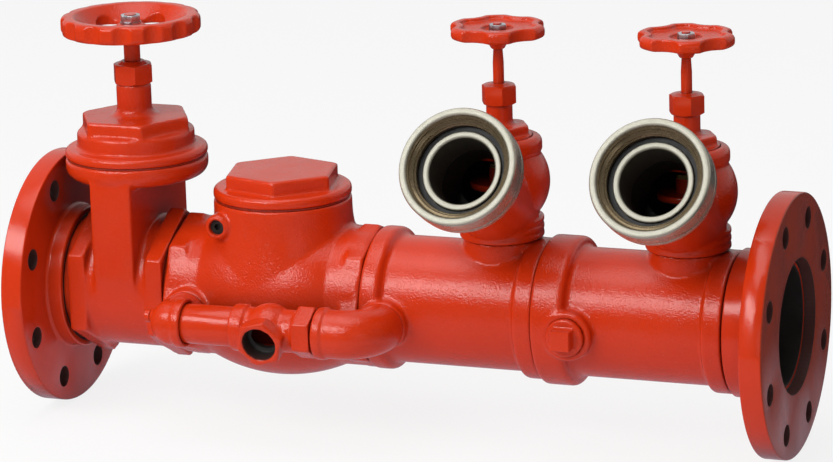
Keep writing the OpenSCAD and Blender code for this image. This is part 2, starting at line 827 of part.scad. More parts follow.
module clapper_nut() {
    color("goldenrod") along_x(arm_x + arm_t) difference() {
        nut_block(6, 11, 8, 0.8, 0.8);
        translate([0, 0, -1]) cylinder(r = clapper_stud_r + seat_gap, h = 10);
    }
}

module hinge_pin() {
    color("silver") toward_front(hinge_x, 2 - pin_back_y, hinge_z)
        cylinder(r = hinge_pin_r, h = pin_back_y - 2 + hinge_boss_y - 13);
}

module hinge_plug() {
    color("goldenrod") toward_front(hinge_x, hinge_boss_y - 11, hinge_z) difference() {
        cylinder(r = hinge_pin_r + 1.45, h = 7);
        translate([0, 0, 3]) cylinder(r = 3.2, h = 8, $fn = 6);
    }
}

/* Bypass */

module bypass_left_elbow() {
    leg = bypass_y - check_boss_y;
    color("orangered") difference() {
        union() {
            translate([left_elbow_x, -bypass_y, bypass_z]) sphere(left_elbow_r);
            toward_front(left_elbow_x, check_boss_y, bypass_z)
                cylinder(r = left_elbow_r, h = leg);
            toward_front(left_elbow_x, check_boss_y - 11, bypass_z)
                cylinder(r = bypass_joint_r - seat_gap, h = 14);
            translate([left_elbow_x, -bypass_y, bypass_z]) rotate([0, 90, 0])
                cylinder(r = left_elbow_r, h = left_mouth_x - left_elbow_x - 1);
            translate([left_mouth_x - band_l, -bypass_y, bypass_z]) rotate([0, 90, 0])
                coin(left_elbow_r + elbow_band_h, band_l, 1, 1);
            translate([left_elbow_x - screw_lug_l, -bypass_y, bypass_z + 4]) rotate([0, 90, 0])
                cylinder(r = 6.5, h = 15);
        }
        toward_front(left_elbow_x, check_boss_y - 20, bypass_z)
            cylinder(r = bypass_bore_r, h = leg + 20);
        translate([left_elbow_x, -bypass_y, bypass_z]) {
            sphere(bypass_bore_r);
            rotate([0, 90, 0]) cylinder(r = bypass_bore_r, h = 40);
        }
        translate([left_elbow_x + 4, -bypass_y, bypass_z]) rotate([0, 90, 0])
            cylinder(r = bypass_pipe_r + seat_gap, h = 40);
        translate([left_elbow_x - screw_lug_l - 1, -bypass_y, bypass_z + 4]) rotate([0, 90, 0])
            cylinder(r = screw_r + seat_gap, h = screw_lug_l + 1);
    }
}

module bypass_screw() {
    color("orangered")
        translate([left_elbow_x - screw_lug_l - screw_head_l, -bypass_y, bypass_z + 4])
        rotate([0, 90, 0]) {
            cylinder(r = screw_r, h = screw_head_l + 11);
            coin(5.4, screw_head_l, 1, 1);
        }
}

module bypass_nipple() {
    color("orangered") translate([left_elbow_x + 4.2, -bypass_y, bypass_z]) rotate([0, 90, 0])
        tube(bypass_pipe_r, bypass_bore_r, tee_left_x + 8 - left_elbow_x - 4.2);
}

// The test port's own axis, which leaves the tee's middle towards the front and droops
module along_test_port() {
    translate([tee_x, -bypass_y, bypass_z]) rotate([90 + test_port_droop, 0, 0]) children();
}

module bypass_tee() {
    hex_x = tee_right_x - tee_hex_l;
    color("orangered") difference() {
        union() {
            translate([tee_x, -bypass_y, bypass_z]) rotate([0, 90, 0]) sphere(tee_r);
            translate([tee_left_x, -bypass_y, bypass_z]) rotate([0, 90, 0])
                coin(bypass_pipe_r + 3.2, 12, 1, 1.5);
            translate([tee_left_x + 8, -bypass_y, bypass_z]) rotate([0, 90, 0])
                cylinder(r = bypass_pipe_r + 1.2, h = hex_x - tee_left_x - 4);
            translate([hex_x, -bypass_y, bypass_z]) rotate([0, 90, 0])
                nut_block(6, tee_hex_r, tee_hex_l, 1, 1);
            along_test_port() {
                cylinder(r = test_port_r + 2.7, h = test_port_l - 4);
                translate([0, 0, test_port_l - 12])
                    rotate([0, 0, 15]) nut_block(6, tee_hex_r - 1, 12, 1, 1);
            }
        }
        translate([tee_left_x - 1, -bypass_y, bypass_z]) rotate([0, 90, 0]) {
            cylinder(r = bypass_bore_r, h = reach);
            cylinder(r = bypass_pipe_r + seat_gap, h = 9.2);
        }
        translate([tee_right_x - 12, -bypass_y, bypass_z]) rotate([0, 90, 0])
            cylinder(r = bypass_joint_r, h = 20);
        along_test_port() {
            cylinder(r = test_bore_r, h = 60);
            translate([0, 0, test_port_l - 14]) cylinder(r = test_port_r, h = 60);
        }
    }
}

module bypass_right_elbow() {
    bend_x = left_boss_x - right_bend_r;
    bend_y = bypass_y - right_bend_r;
    color("orangered") difference() {
        union() {
            translate([bend_x, -bend_y, bypass_z]) rotate([0, 0, -90])
                rotate_extrude(angle = 90) translate([right_bend_r, 0]) circle(right_elbow_r);
            translate([right_mouth_x, -bypass_y, bypass_z]) rotate([0, 90, 0])
                cylinder(r = right_elbow_r, h = bend_x - right_mouth_x);
            translate([right_mouth_x, -bypass_y, bypass_z]) rotate([0, 90, 0])
                coin(right_elbow_r + elbow_band_h, band_l, 1, 1);
            toward_front(left_boss_x, side_boss_y, bypass_z)
                cylinder(r = right_elbow_r, h = bend_y - side_boss_y);
            toward_front(left_boss_x, side_boss_y - 11, bypass_z)
                cylinder(r = bypass_joint_r - seat_gap, h = 14);
            translate([tee_right_x - 11, -bypass_y, bypass_z]) rotate([0, 90, 0])
                cylinder(r = bypass_joint_r - seat_gap, h = 15);
        }
        translate([bend_x, -bend_y, bypass_z]) rotate([0, 0, -90])
            rotate_extrude(angle = 90) translate([right_bend_r, 0]) circle(bypass_bore_r);
        translate([tee_right_x - 20, -bypass_y, bypass_z]) rotate([0, 90, 0])
            cylinder(r = bypass_bore_r, h = bend_x - tee_right_x + 20);
        toward_front(left_boss_x, side_boss_y - 20, bypass_z)
            cylinder(r = bypass_bore_r, h = bend_y - side_boss_y + 20);
    }
}

/* Manifold */

// One module of the manifold from x to the end of its socket, with its two bosses
module manifold_module(x, bead_l, bead_r, boss_z) {
    tube_x = x + bead_l;
    end_x = tube_x + tube_l + socket_l;
    color("orangered") difference() {
        union() {
            along_x(x) coin(bead_r, bead_l, 2, 5);
            along_x(tube_x - 4) cylinder(r = pipe_r, h = tube_l + 8);
            along_x(tube_x) corner_fillet(pipe_r, 3);
            along_x(tube_x + tube_l) coin(socket_r, socket_l, 3, 1);
            along_x(x - spigot_depth) cylinder(r = pipe_r_out, h = spigot_depth + 4);
            translate([tube_x + outlet_dx, 0, 20])
                cylinder(r = outlet_boss_r, h = outlet_boss_z - 20);
            toward_front(tube_x + side_boss_dx, 30, boss_z)
                coin(side_boss_r, side_boss_y - 30, 0, 1.5);
        }
        along_x(x - spigot_depth - 1) cylinder(r = bore_r, h = end_x - x + spigot_depth - 14);
        along_x(end_x - spigot_depth - 1.5) cylinder(r = thread_r, h = spigot_depth + 3);
        translate([tube_x + outlet_dx, 0, 10]) cylinder(r = spigot_r, h = outlet_boss_z);
        toward_front(tube_x + side_boss_dx, 20, boss_z)
            cylinder(r = bypass_bore_r, h = 60);
        toward_front(tube_x + side_boss_dx, side_boss_y - 12, boss_z)
            cylinder(r = bypass_joint_r, h = 20);
    }
}

module manifold_left() {
    manifold_module(check_x1, left_bead_l, left_bead_r, bypass_z);
}

module manifold_right() {
    manifold_module(left_x1, right_bead_l, right_bead_r, side_boss_z);
}

module manifold_plug() {
    color("firebrick") toward_front(right_boss_x, side_boss_y - 11, side_boss_z) {
        cylinder(r = bypass_joint_r - seat_gap, h = 12);
        translate([0, 0, 11]) coin(plug_collar_r, 5, 0, 1);
        translate([-plug_square / 2, -plug_square / 2, 14])
            cube([plug_square, plug_square, 13]);
    }
}

/* Hose valves */

// Turns children drawn up Z so that they run out along an inlet's own axis
module along_inlet() {
    translate([0, 0, inlet_z]) rotate([90 - inlet_rise, 0, 0]) children();
}

module hose_body() {
    color("orangered") difference() {
        union() {
            translate([0, 0, foot_z]) hose_foot();
            translate([0, 0, globe_z]) sphere(globe_r, $fn = 96);
            translate([0, 0, foot_z + foot_h - 2]) cylinder(r = 31, h = 14);
            translate([0, 0, collar_low_z - 8])
                cylinder(r = valve_collar_r - 1.5, h = 10);
            translate([0, 0, collar_low_z])
                coin(valve_collar_r, valve_joint_z - collar_low_z, 1, 6);
            translate([0, 0, foot_z - spigot_l])
                cylinder(r = spigot_r - seat_gap, h = spigot_l + 4);
            along_inlet() {
                cylinder(r = 34, h = neck_end);
                translate([0, 0, neck_end - 18]) coin(40, 18, 3, 1.5);
            }
        }
        translate([0, 0, foot_z - spigot_l - 1])
            cylinder(r = valve_seat_r, h = valve_seat_z - foot_z + spigot_l + 2);
        intersection() {
            translate([0, 0, globe_z]) sphere(globe_r - 6, $fn = 96);
            translate([-50, -50, valve_seat_z]) cube([100, 100, 100]);
        }
        translate([0, 0, globe_z]) cylinder(r = opening_r, h = 80);
        along_inlet() {
            translate([0, 0, throat_start]) cylinder(r = inlet_bore_r, h = 100);
            translate([0, 0, neck_end - 16]) cylinder(r = inlet_bore_r + 3.5, h = 40);
        }
    }
}

// The ribbed foot that a wrench grips
module hose_foot() {
    ribs = 3;
    pitch = foot_h / ribs;
    cylinder(r = foot_r - 2.4, h = foot_h);
    for (i = [0 : ribs - 1])
        translate([0, 0, i * pitch + 0.6]) coin(foot_r, pitch - 1.2, 1.6, 1.6);
}

module hose_bonnet() {
    color("orangered") difference() {
        union() {
            translate([0, 0, valve_bonnet_low_z])
                cylinder(r = opening_r - seat_gap, h = valve_joint_z - valve_bonnet_low_z + 1);
            translate([0, 0, valve_joint_z])
                nut_block(6, valve_hex_r, valve_hex_h, 1, 1.2);
            translate([0, 0, valve_joint_z + valve_hex_h - 1])
                cylinder(r = valve_neck_r, h = valve_neck_z - valve_joint_z - valve_hex_h + 1);
            translate([0, 0, valve_joint_z + valve_hex_h]) corner_fillet(valve_neck_r, 4);
            translate([0, 0, valve_neck_z - 1])
                cylinder(r = valve_spigot_r, h = valve_spigot_l + 1);
        }
        translate([0, 0, valve_bonnet_low_z - 1])
            cylinder(r = valve_screw_r + run_gap, h = reach);
        translate([0, 0, screw_high_z + valve_more_lift + 1]) cylinder(r = valve_box_r, h = 60);
    }
}

module hose_stem() {
    low = disc_z + 8;
    color("goldenrod") {
        translate([0, 0, low]) coin(valve_screw_r, 6, 1, 0.5);
        translate([0, 0, low + 5]) cylinder(r = 4.5, h = screw_low_z - low - 4);
        translate([0, 0, screw_low_z]) cylinder(r = valve_screw_r, h = screw_high_z - screw_low_z);
        translate([0, 0, screw_high_z - 1])
            cylinder(r = valve_stem_r, h = stem_taper_z - screw_high_z + 1);
        translate([0, 0, stem_taper_z])
            cylinder(r1 = valve_stem_r, r2 = valve_stem_r - 0.7, h = valve_hub_z - stem_taper_z);
        translate([0, 0, valve_hub_z - 1])
            cylinder(r = valve_stud_r, h = valve_wheel_z + 12 - valve_hub_z);
    }
}

module hose_disc() {
    color("peru") difference() {
        union() {
            translate([0, 0, disc_low_z]) coin(disc_r, 5, 1, 1.5);
            translate([0, 0, disc_low_z + 4]) cylinder(r = 10, h = 13);
        }
        translate([0, 0, disc_low_z - 1]) cylinder(r = disc_r - 2, h = 3);
        translate([0, 0, disc_z + 7.4]) cylinder(r = valve_screw_r + 0.1, h = 20);
    }
}

module hose_disc_seal() {
    color("dimgray") translate([0, 0, disc_z]) cylinder(r = disc_r - 2.05, h = 3);
}

module hose_disc_nut() {
    color("goldenrod") translate([0, 0, disc_low_z + 17]) difference() {
        nut_block(6, 11.5, 3.6, 0.6, 0.6);
        translate([0, 0, -1]) cylinder(r = 4.6, h = 10);
    }
}

module hose_packing() {
    low = screw_high_z + valve_more_lift + 1.2;
    for (i = [0 : 1])
        translate([0, 0, low + i * 4.1])
            tube(valve_box_r - seat_gap, valve_stem_r + run_gap, 4);
}

module hose_gland() {
    low = screw_high_z + valve_more_lift + 1.2 + 2 * 4.1;
    high = valve_neck_z + valve_nut_h - 3.5;
    translate([0, 0, low])
        tube(valve_box_r - seat_gap, valve_stem_r + run_gap, high - low);
}

module hose_gland_nut() {
    translate([0, 0, valve_neck_z + 0.3]) difference() {
        union() {
            nut_block(6, valve_nut_r, valve_nut_h, 1.5, 1.2);
            translate([0, 0, valve_nut_h - 0.5])
                cylinder(r1 = valve_nut_r * 0.8, r2 = valve_stem_r + 2, h = 2);
        }
        translate([0, 0, -1]) cylinder(r = valve_spigot_r + seat_gap, h = valve_spigot_l + 2);
        cylinder(r = valve_box_r, h = valve_nut_h - 3.5);
        cylinder(r = valve_stem_r + pass_gap, h = reach);
    }
}

module hose_packings() {
    color("whitesmoke") for (x = valve_xs) translate([x, 0, 0]) hose_packing();
}

module hose_glands() {
    color("goldenrod") for (x = valve_xs) translate([x, 0, 0]) hose_gland();
}

module hose_gland_nuts() {
    color("orangered") for (x = valve_xs) translate([x, 0, 0]) hose_gland_nut();
}

module hose_handwheel() {
    dish_h = 3;
    color("orangered") translate([0, 0, valve_wheel_z]) rotate([0, 0, valve_wheel_turn])
        difference() {
            union() {
                lobed_disc(valve_wheel_r, valve_lobes, valve_hollow_r, valve_hollow_d,
                    valve_wheel_h, 4);
                translate([0, 0, valve_hub_z - valve_wheel_z])
                    cylinder(r1 = valve_stem_r + 0.6, r2 = 12, h = valve_wheel_z - valve_hub_z + 1);
            }
            translate([0, 0, valve_wheel_h - dish_h])
                lobed_disc(valve_wheel_r - 8, valve_lobes, valve_hollow_r + 2,
                    valve_hollow_d - 2, 10, 1);
            translate([0, 0, valve_wheel_h - 6]) cylinder(r = 13, h = 10);
            translate([0, 0, valve_hub_z - valve_wheel_z - 1])
                cylinder(r = valve_stud_r + seat_gap, h = reach);
        }
}

module hose_wheel_nut() {
    color("silver") translate([0, 0, valve_wheel_z + valve_wheel_h - 6]) difference() {
        nut_block(6, 7.6, 5.5, 0.5, 0.5);
        translate([0, 0, -1]) cylinder(r = valve_stud_r + seat_gap, h = 10);
    }
}

/* Hose inlets */

module hose_tailpiece() {
    color("gainsboro") along_inlet() difference() {
        union() {
            translate([0, 0, neck_end - 15.5]) cylinder(r = inlet_bore_r + 3.45, h = 18);
            translate([0, 0, neck_end + 0.3]) coin(40, 5.2, 1, 1);
            translate([0, 0, neck_end + 2]) cylinder(r = nozzle_r, h = nose_s - neck_end - 2);
        }
        translate([0, 0, neck_end - 20]) cylinder(r = inlet_bore_r, h = 80);
        translate([0, 0, wire_s]) rotate_extrude() translate([nozzle_r, 0]) circle(wire_r + 0.1);
    }
}

module hose_swivel() {
    color("gainsboro") along_inlet() difference() {
        union() {
            translate([0, 0, swivel_back]) coin(swivel_r - 0.5, swivel_l, 2, 1);
            translate([0, 0, swivel_back + 7]) coin(swivel_r, swivel_l - 7, 1, 2.5);
        }
        translate([0, 0, swivel_back - 1]) cylinder(r = nozzle_r + run_gap, h = 40);
        translate([0, 0, gasket_s]) cylinder(r = swivel_thread_r, h = 40);
        translate([0, 0, gasket_s + gasket_l])
            cylinder(r = swivel_thread_r + 1, h = nose_s + 0.5 - gasket_s - gasket_l);
        translate([0, 0, inlet_face - 3]) cylinder(r1 = swivel_thread_r, r2 = swivel_mouth_r, h = 3.01);
        translate([0, 0, wire_s]) rotate_extrude() translate([nozzle_r, 0]) circle(wire_r + 0.1);
    }
}

module hose_swivel_wire() {
    color("silver") along_inlet() translate([0, 0, wire_s])
        rotate_extrude() translate([nozzle_r, 0]) circle(wire_r);
}

module hose_swivel_gasket() {
    color("dimgray") along_inlet() translate([0, 0, gasket_s])
        tube(swivel_thread_r - seat_gap, nozzle_r + pass_gap, gasket_l);
}

// Puts a hose valve's piece at its place on the manifold
module at_valve(i) {
    translate([valve_xs[i], 0, 0]) children();
}

left_flange();
left_nipple();
gate_body();
gate_bonnet();
gate_bonnet_gasket();
gate_stem();
gate_wedge();
gate_packing();
gate_gland();
gate_gland_nut();
gate_handwheel();
gate_wheel_washer();
gate_wheel_nut();
centre_nipple();
check_body();
check_cap();
check_cap_gasket();
clapper();
clapper_seal();
clapper_arm();
clapper_nut();
hinge_pin();
hinge_plug();
bypass_left_elbow();
bypass_screw();
bypass_nipple();
bypass_tee();
bypass_right_elbow();
manifold_left();
manifold_right();
manifold_plug();
right_nipple();
right_flange();
hose_packings();
hose_glands();
hose_gland_nuts();
at_valve(0) hose_body();  // hose1_body
at_valve(0) hose_bonnet();  // hose1_bonnet
at_valve(0) hose_stem();  // hose1_stem
at_valve(0) hose_disc();  // hose1_disc
at_valve(0) hose_disc_seal();  // hose1_disc_seal
at_valve(0) hose_disc_nut();  // hose1_disc_nut
at_valve(0) hose_handwheel();  // hose1_handwheel
at_valve(0) hose_wheel_nut();  // hose1_wheel_nut
at_valve(0) hose_tailpiece();  // hose1_tailpiece
at_valve(0) hose_swivel();  // hose1_swivel
at_valve(0) hose_swivel_wire();  // hose1_swivel_wire
at_valve(0) hose_swivel_gasket();  // hose1_swivel_gasket
at_valve(1) hose_body();  // hose2_body
at_valve(1) hose_bonnet();  // hose2_bonnet
at_valve(1) hose_stem();  // hose2_stem
at_valve(1) hose_disc();  // hose2_disc
at_valve(1) hose_disc_seal();  // hose2_disc_seal
at_valve(1) hose_disc_nut();  // hose2_disc_nut
at_valve(1) hose_handwheel();  // hose2_handwheel
at_valve(1) hose_wheel_nut();  // hose2_wheel_nut
at_valve(1) hose_tailpiece();  // hose2_tailpiece
at_valve(1) hose_swivel();  // hose2_swivel
at_valve(1) hose_swivel_wire();  // hose2_swivel_wire
at_valve(1) hose_swivel_gasket();  // hose2_swivel_gasket
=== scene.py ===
"""A flanged fire hose connection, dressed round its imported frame.

Castings and handwheels are softened copies of the frame's solids, and flanges, nuts
and the bypass pipe are copies with eased edges. The hose couplings are surfaces
worked out with numpy. The other solids show as they are. All lengths are in metres,
in the frame's own axes.
"""
import json
import math

import bmesh
import bpy
import numpy as np
from bpy.props import FloatProperty, FloatVectorProperty, IntProperty, PointerProperty
from mathutils import Matrix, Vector
from mathutils.bvhtree import BVHTree


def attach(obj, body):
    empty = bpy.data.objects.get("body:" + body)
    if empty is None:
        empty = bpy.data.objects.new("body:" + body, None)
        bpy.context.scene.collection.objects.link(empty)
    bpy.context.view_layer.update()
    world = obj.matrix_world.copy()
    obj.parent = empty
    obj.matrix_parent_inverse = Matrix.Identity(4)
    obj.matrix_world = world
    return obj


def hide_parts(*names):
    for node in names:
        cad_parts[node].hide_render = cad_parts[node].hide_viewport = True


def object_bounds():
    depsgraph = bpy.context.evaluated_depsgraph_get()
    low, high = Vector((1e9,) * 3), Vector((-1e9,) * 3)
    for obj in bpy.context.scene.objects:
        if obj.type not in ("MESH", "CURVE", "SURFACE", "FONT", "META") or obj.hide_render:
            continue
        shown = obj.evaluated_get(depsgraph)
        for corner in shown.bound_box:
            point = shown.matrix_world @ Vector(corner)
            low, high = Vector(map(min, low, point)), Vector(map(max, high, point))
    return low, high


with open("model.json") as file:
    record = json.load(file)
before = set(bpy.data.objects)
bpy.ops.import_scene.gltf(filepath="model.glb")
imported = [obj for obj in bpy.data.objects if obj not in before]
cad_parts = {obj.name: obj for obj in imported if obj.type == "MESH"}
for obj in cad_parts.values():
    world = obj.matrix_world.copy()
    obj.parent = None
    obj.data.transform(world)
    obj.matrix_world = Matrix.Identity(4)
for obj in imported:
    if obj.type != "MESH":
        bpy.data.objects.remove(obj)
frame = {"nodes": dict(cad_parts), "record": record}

bl_info = {
    "name": "Fire Hose Connection",
    "version": (1, 0, 0),
    "blender": (4, 5, 0),
    "location": "View3D > Sidebar > Connection",
    "description": "Dresses the valves, couplings and pipe run of a fire hose connection",
    "category": "Object",
}

MM = 0.001
CAD_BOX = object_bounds()

# The places below are the solids' own. Radii of holes that are masked, the flange's
# recess, the valve's opening and the port, are 0.3 mm over them, and so is a bolt
# hole's where it is used. The swivel's hole is 0.01 mm over and its flare 0.5 mm.
VALVE_X = (415.0 * MM, 577.0 * MM)
INLET_Z = 84.0 * MM
INLET_RISE = math.radians(30.0)
RUN_END = 669.0 * MM
BOLT_CIRCLE_R = 90.0 * MM
BOLT_HOLE_R = 9.0 * MM
FLANGE_RECESS_R = 56.6 * MM
GLOBE_Z = 108.0 * MM
GLOBE_R = 41.0 * MM
OPENING_R = 27.3 * MM
NOZZLE_END = 109.0 * MM
NOZZLE_R = 33.5 * MM
NOZZLE_HOLE_R = 33.56 * MM
SWIVEL_BACK = 96.0 * MM
SWIVEL_FACE = 122.0 * MM
THREAD_R = 37.6 * MM
FLARE_R = 43.0 * MM
PORT_HOLE_R = 14.8 * MM
MASK_BLEND = 0.4 * MM
SET_BACK = 0.25 * MM
GATE_GUIDE = (np.array((64.0, -52.0, -52.0)) * MM, np.array((101.0, 52.0, 112.0)) * MM)
THROAT_R = 28.0 * MM


# ---------------------------------------------------------------- mesh helpers

def shown(name, mesh, body, material, slot, *nodes, smooth=40.0):
    """Links a finished mesh as a piece with its body and material, and hides its nodes. The
    slot is not used.
    """
    piece = bpy.data.objects.new(name, mesh)
    bpy.context.scene.collection.objects.link(piece)
    mesh.materials.clear()
    mesh.materials.append(material)
    mesh.shade_smooth()
    if smooth is not None:
        mesh.set_sharp_from_angle(angle=math.radians(smooth))
    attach(piece, body)
    if nodes:
        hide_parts(*nodes)
    return piece


def grid(name, points):
    """A mesh from an array of points [u, v, xyz] that closes on itself both ways: quads
    join each point to its neighbours, and the last row and column to the first."""
    nu, nv = points.shape[:2]
    index = np.arange(nu * nv).reshape(nu, nv)
    beside = np.roll(index, -1, axis=0)
    corners = (index, beside, np.roll(beside, -1, axis=1), np.roll(index, -1, axis=1))
    mesh = bpy.data.meshes.new(name)
    mesh.from_pydata(points.reshape(-1, 3).tolist(), [],
                     np.stack(corners, axis=-1).reshape(-1, 4).tolist())
    mesh.update()
    return mesh


def rounded(corners, radius, steps=5):
    """A closed outline with each corner [x, y, r] turned on a quadratic curve that
    starts and ends r (or radius) from the corner along its two edges."""
    pts = np.array([c[:2] for c in corners], float)
    out = []
    n = len(pts)
    for i in range(n):
        p, before, after = pts[i], pts[i - 1], pts[(i + 1) % n]
        r = corners[i][2] if len(corners[i]) > 2 else radius
        to_b, to_a = before - p, after - p
        len_b, len_a = np.hypot(*to_b), np.hypot(*to_a)
        r = min(r, 0.45 * len_b, 0.45 * len_a)
        if r <= 0:
            out.append(p[None])
            continue
        start, end = p + to_b / len_b * r, p + to_a / len_a * r
        t = np.linspace(0, 1, steps)[:, None]
        out.append((1 - t) ** 2 * start + 2 * t * (1 - t) * p + t ** 2 * end)
    return np.concatenate(out)


def turned(name, outline, place, segments=128, ripple=None):
    """A solid of revolution: the closed outline of (radius, height) pairs swept
    round the Z axis, r(cos u, sin u), then put in its place by a 4x4 matrix.
    ripple(u, r, z) returns a change of radius, for threads and knurls."""
    u = np.linspace(0, 2 * math.pi, segments, endpoint=False)[:, None]
    r = np.broadcast_to(outline[:, 0][None], (segments, len(outline))).copy()
    z = np.broadcast_to(outline[:, 1][None], r.shape)
    if ripple is not None:
        r = r + ripple(u, r, z)
    points = np.stack((r * np.cos(u), r * np.sin(u), z), axis=-1)
    mesh = grid(name, points)
    mesh.transform(place)
    return outward(mesh)


def outward(mesh):
    """Turns every face of a closed mesh outwards: a negative signed volume, the sum
    of each corner's triple product, means that it is inside out."""
    mesh.calc_loop_triangles()
    v = np.empty(len(mesh.vertices) * 3)
    mesh.vertices.foreach_get("co", v)
    t = np.empty(len(mesh.loop_triangles) * 3, int)
    mesh.loop_triangles.foreach_get("vertices", t)
    v, t = v.reshape(-1, 3), t.reshape(-1, 3)
    volume = np.einsum("ij,ij->i", v[t[:, 0]], np.cross(v[t[:, 1]], v[t[:, 2]])).sum()
    if volume < 0:
        mesh.flip_normals()
    return mesh


def merged_copy(node):
    """A copy of a solid's mesh with its loose triangles joined."""
    mesh = frame["nodes"][node].data.copy()
    bm = bmesh.new()
    bm.from_mesh(mesh)
    bmesh.ops.remove_doubles(bm, verts=bm.verts, dist=2e-6)
    bm.to_mesh(mesh)
    bm.free()
    return mesh


def through(mesh, name, *modifiers):
    """The mesh after a row of modifiers, each a (type, settings) pair, is applied."""
    holder = bpy.data.objects.new(name, mesh)
    bpy.context.scene.collection.objects.link(holder)
    for kind, settings in modifiers:
        modifier = holder.modifiers.new(kind.title(), kind)
        for key, value in settings.items():
            setattr(modifier, key, value)
    bpy.context.view_layer.update()
    graph = bpy.context.evaluated_depsgraph_get()
    done = bpy.data.meshes.new_from_object(holder.evaluated_get(graph))
    bpy.data.objects.remove(holder)
    return done


def held(mesh, node, low, high):
    """Puts the points of a skin that lie in a box a little under the solid's own surface,
    nearest place less the normal times the set-back, so that what slides in there clears
    the guides and their chords."""
    solid = frame["nodes"][node].data
    tree = BVHTree.FromPolygons([v.co for v in solid.vertices],
                                [p.vertices for p in solid.polygons])
    spots = np.empty(len(mesh.vertices) * 3)
    mesh.vertices.foreach_get("co", spots)
    spots = spots.reshape(-1, 3)
    boxed = ((spots > low) & (spots < high)).all(axis=1)
    nearest = np.array([tree.find_nearest(spot)[:2] for spot in spots[boxed]])
    spots[boxed] = nearest[:, 0] - nearest[:, 1] * SET_BACK
    mesh.vertices.foreach_set("co", spots.ravel())
    mesh.update()
    return mesh


def casting(node, voxel, passes, keep=1.0):
    """A softened copy of a cast piece: its solid is filled with voxels, skinned again
    and smoothed, so outer edges turn round and inner corners fill with a fillet."""
    steps = [
        ("REMESH", {"mode": "VOXEL", "voxel_size": voxel, "adaptivity": 0.0}),
        ("SMOOTH", {"factor": 0.5, "iterations": passes}),
    ]
    if keep < 1.0:
        steps.append(("DECIMATE", {"ratio": keep}))
    return through(merged_copy(node), node + "_soft", *steps)


def eased(node, width, segments=2):
    """A copy of a machined piece with a narrow round on every sharp edge."""
    return through(
        merged_copy(node), node + "_eased",
        ("BEVEL", {"width": width, "segments": segments, "limit_method": "ANGLE",
                   "angle_limit": math.radians(28.0), "harden_normals": False}))


def along_inlet(i):
    """The place whose +Z runs out of a hose inlet, from the valve's axis."""
    return (Matrix.Translation((VALVE_X[i], 0, INLET_Z))
            @ Matrix.Rotation(math.pi / 2 - INLET_RISE, 4, "X"))


def along_port():
    """The place whose +Z runs out of the tee's test port, which droops 14 degrees."""
    return Matrix.Translation((241 * MM, -94 * MM, -8 * MM)) @ Matrix.Rotation(
        math.radians(104.0), 4, "X")


# ------------------------------------------------------------------- materials

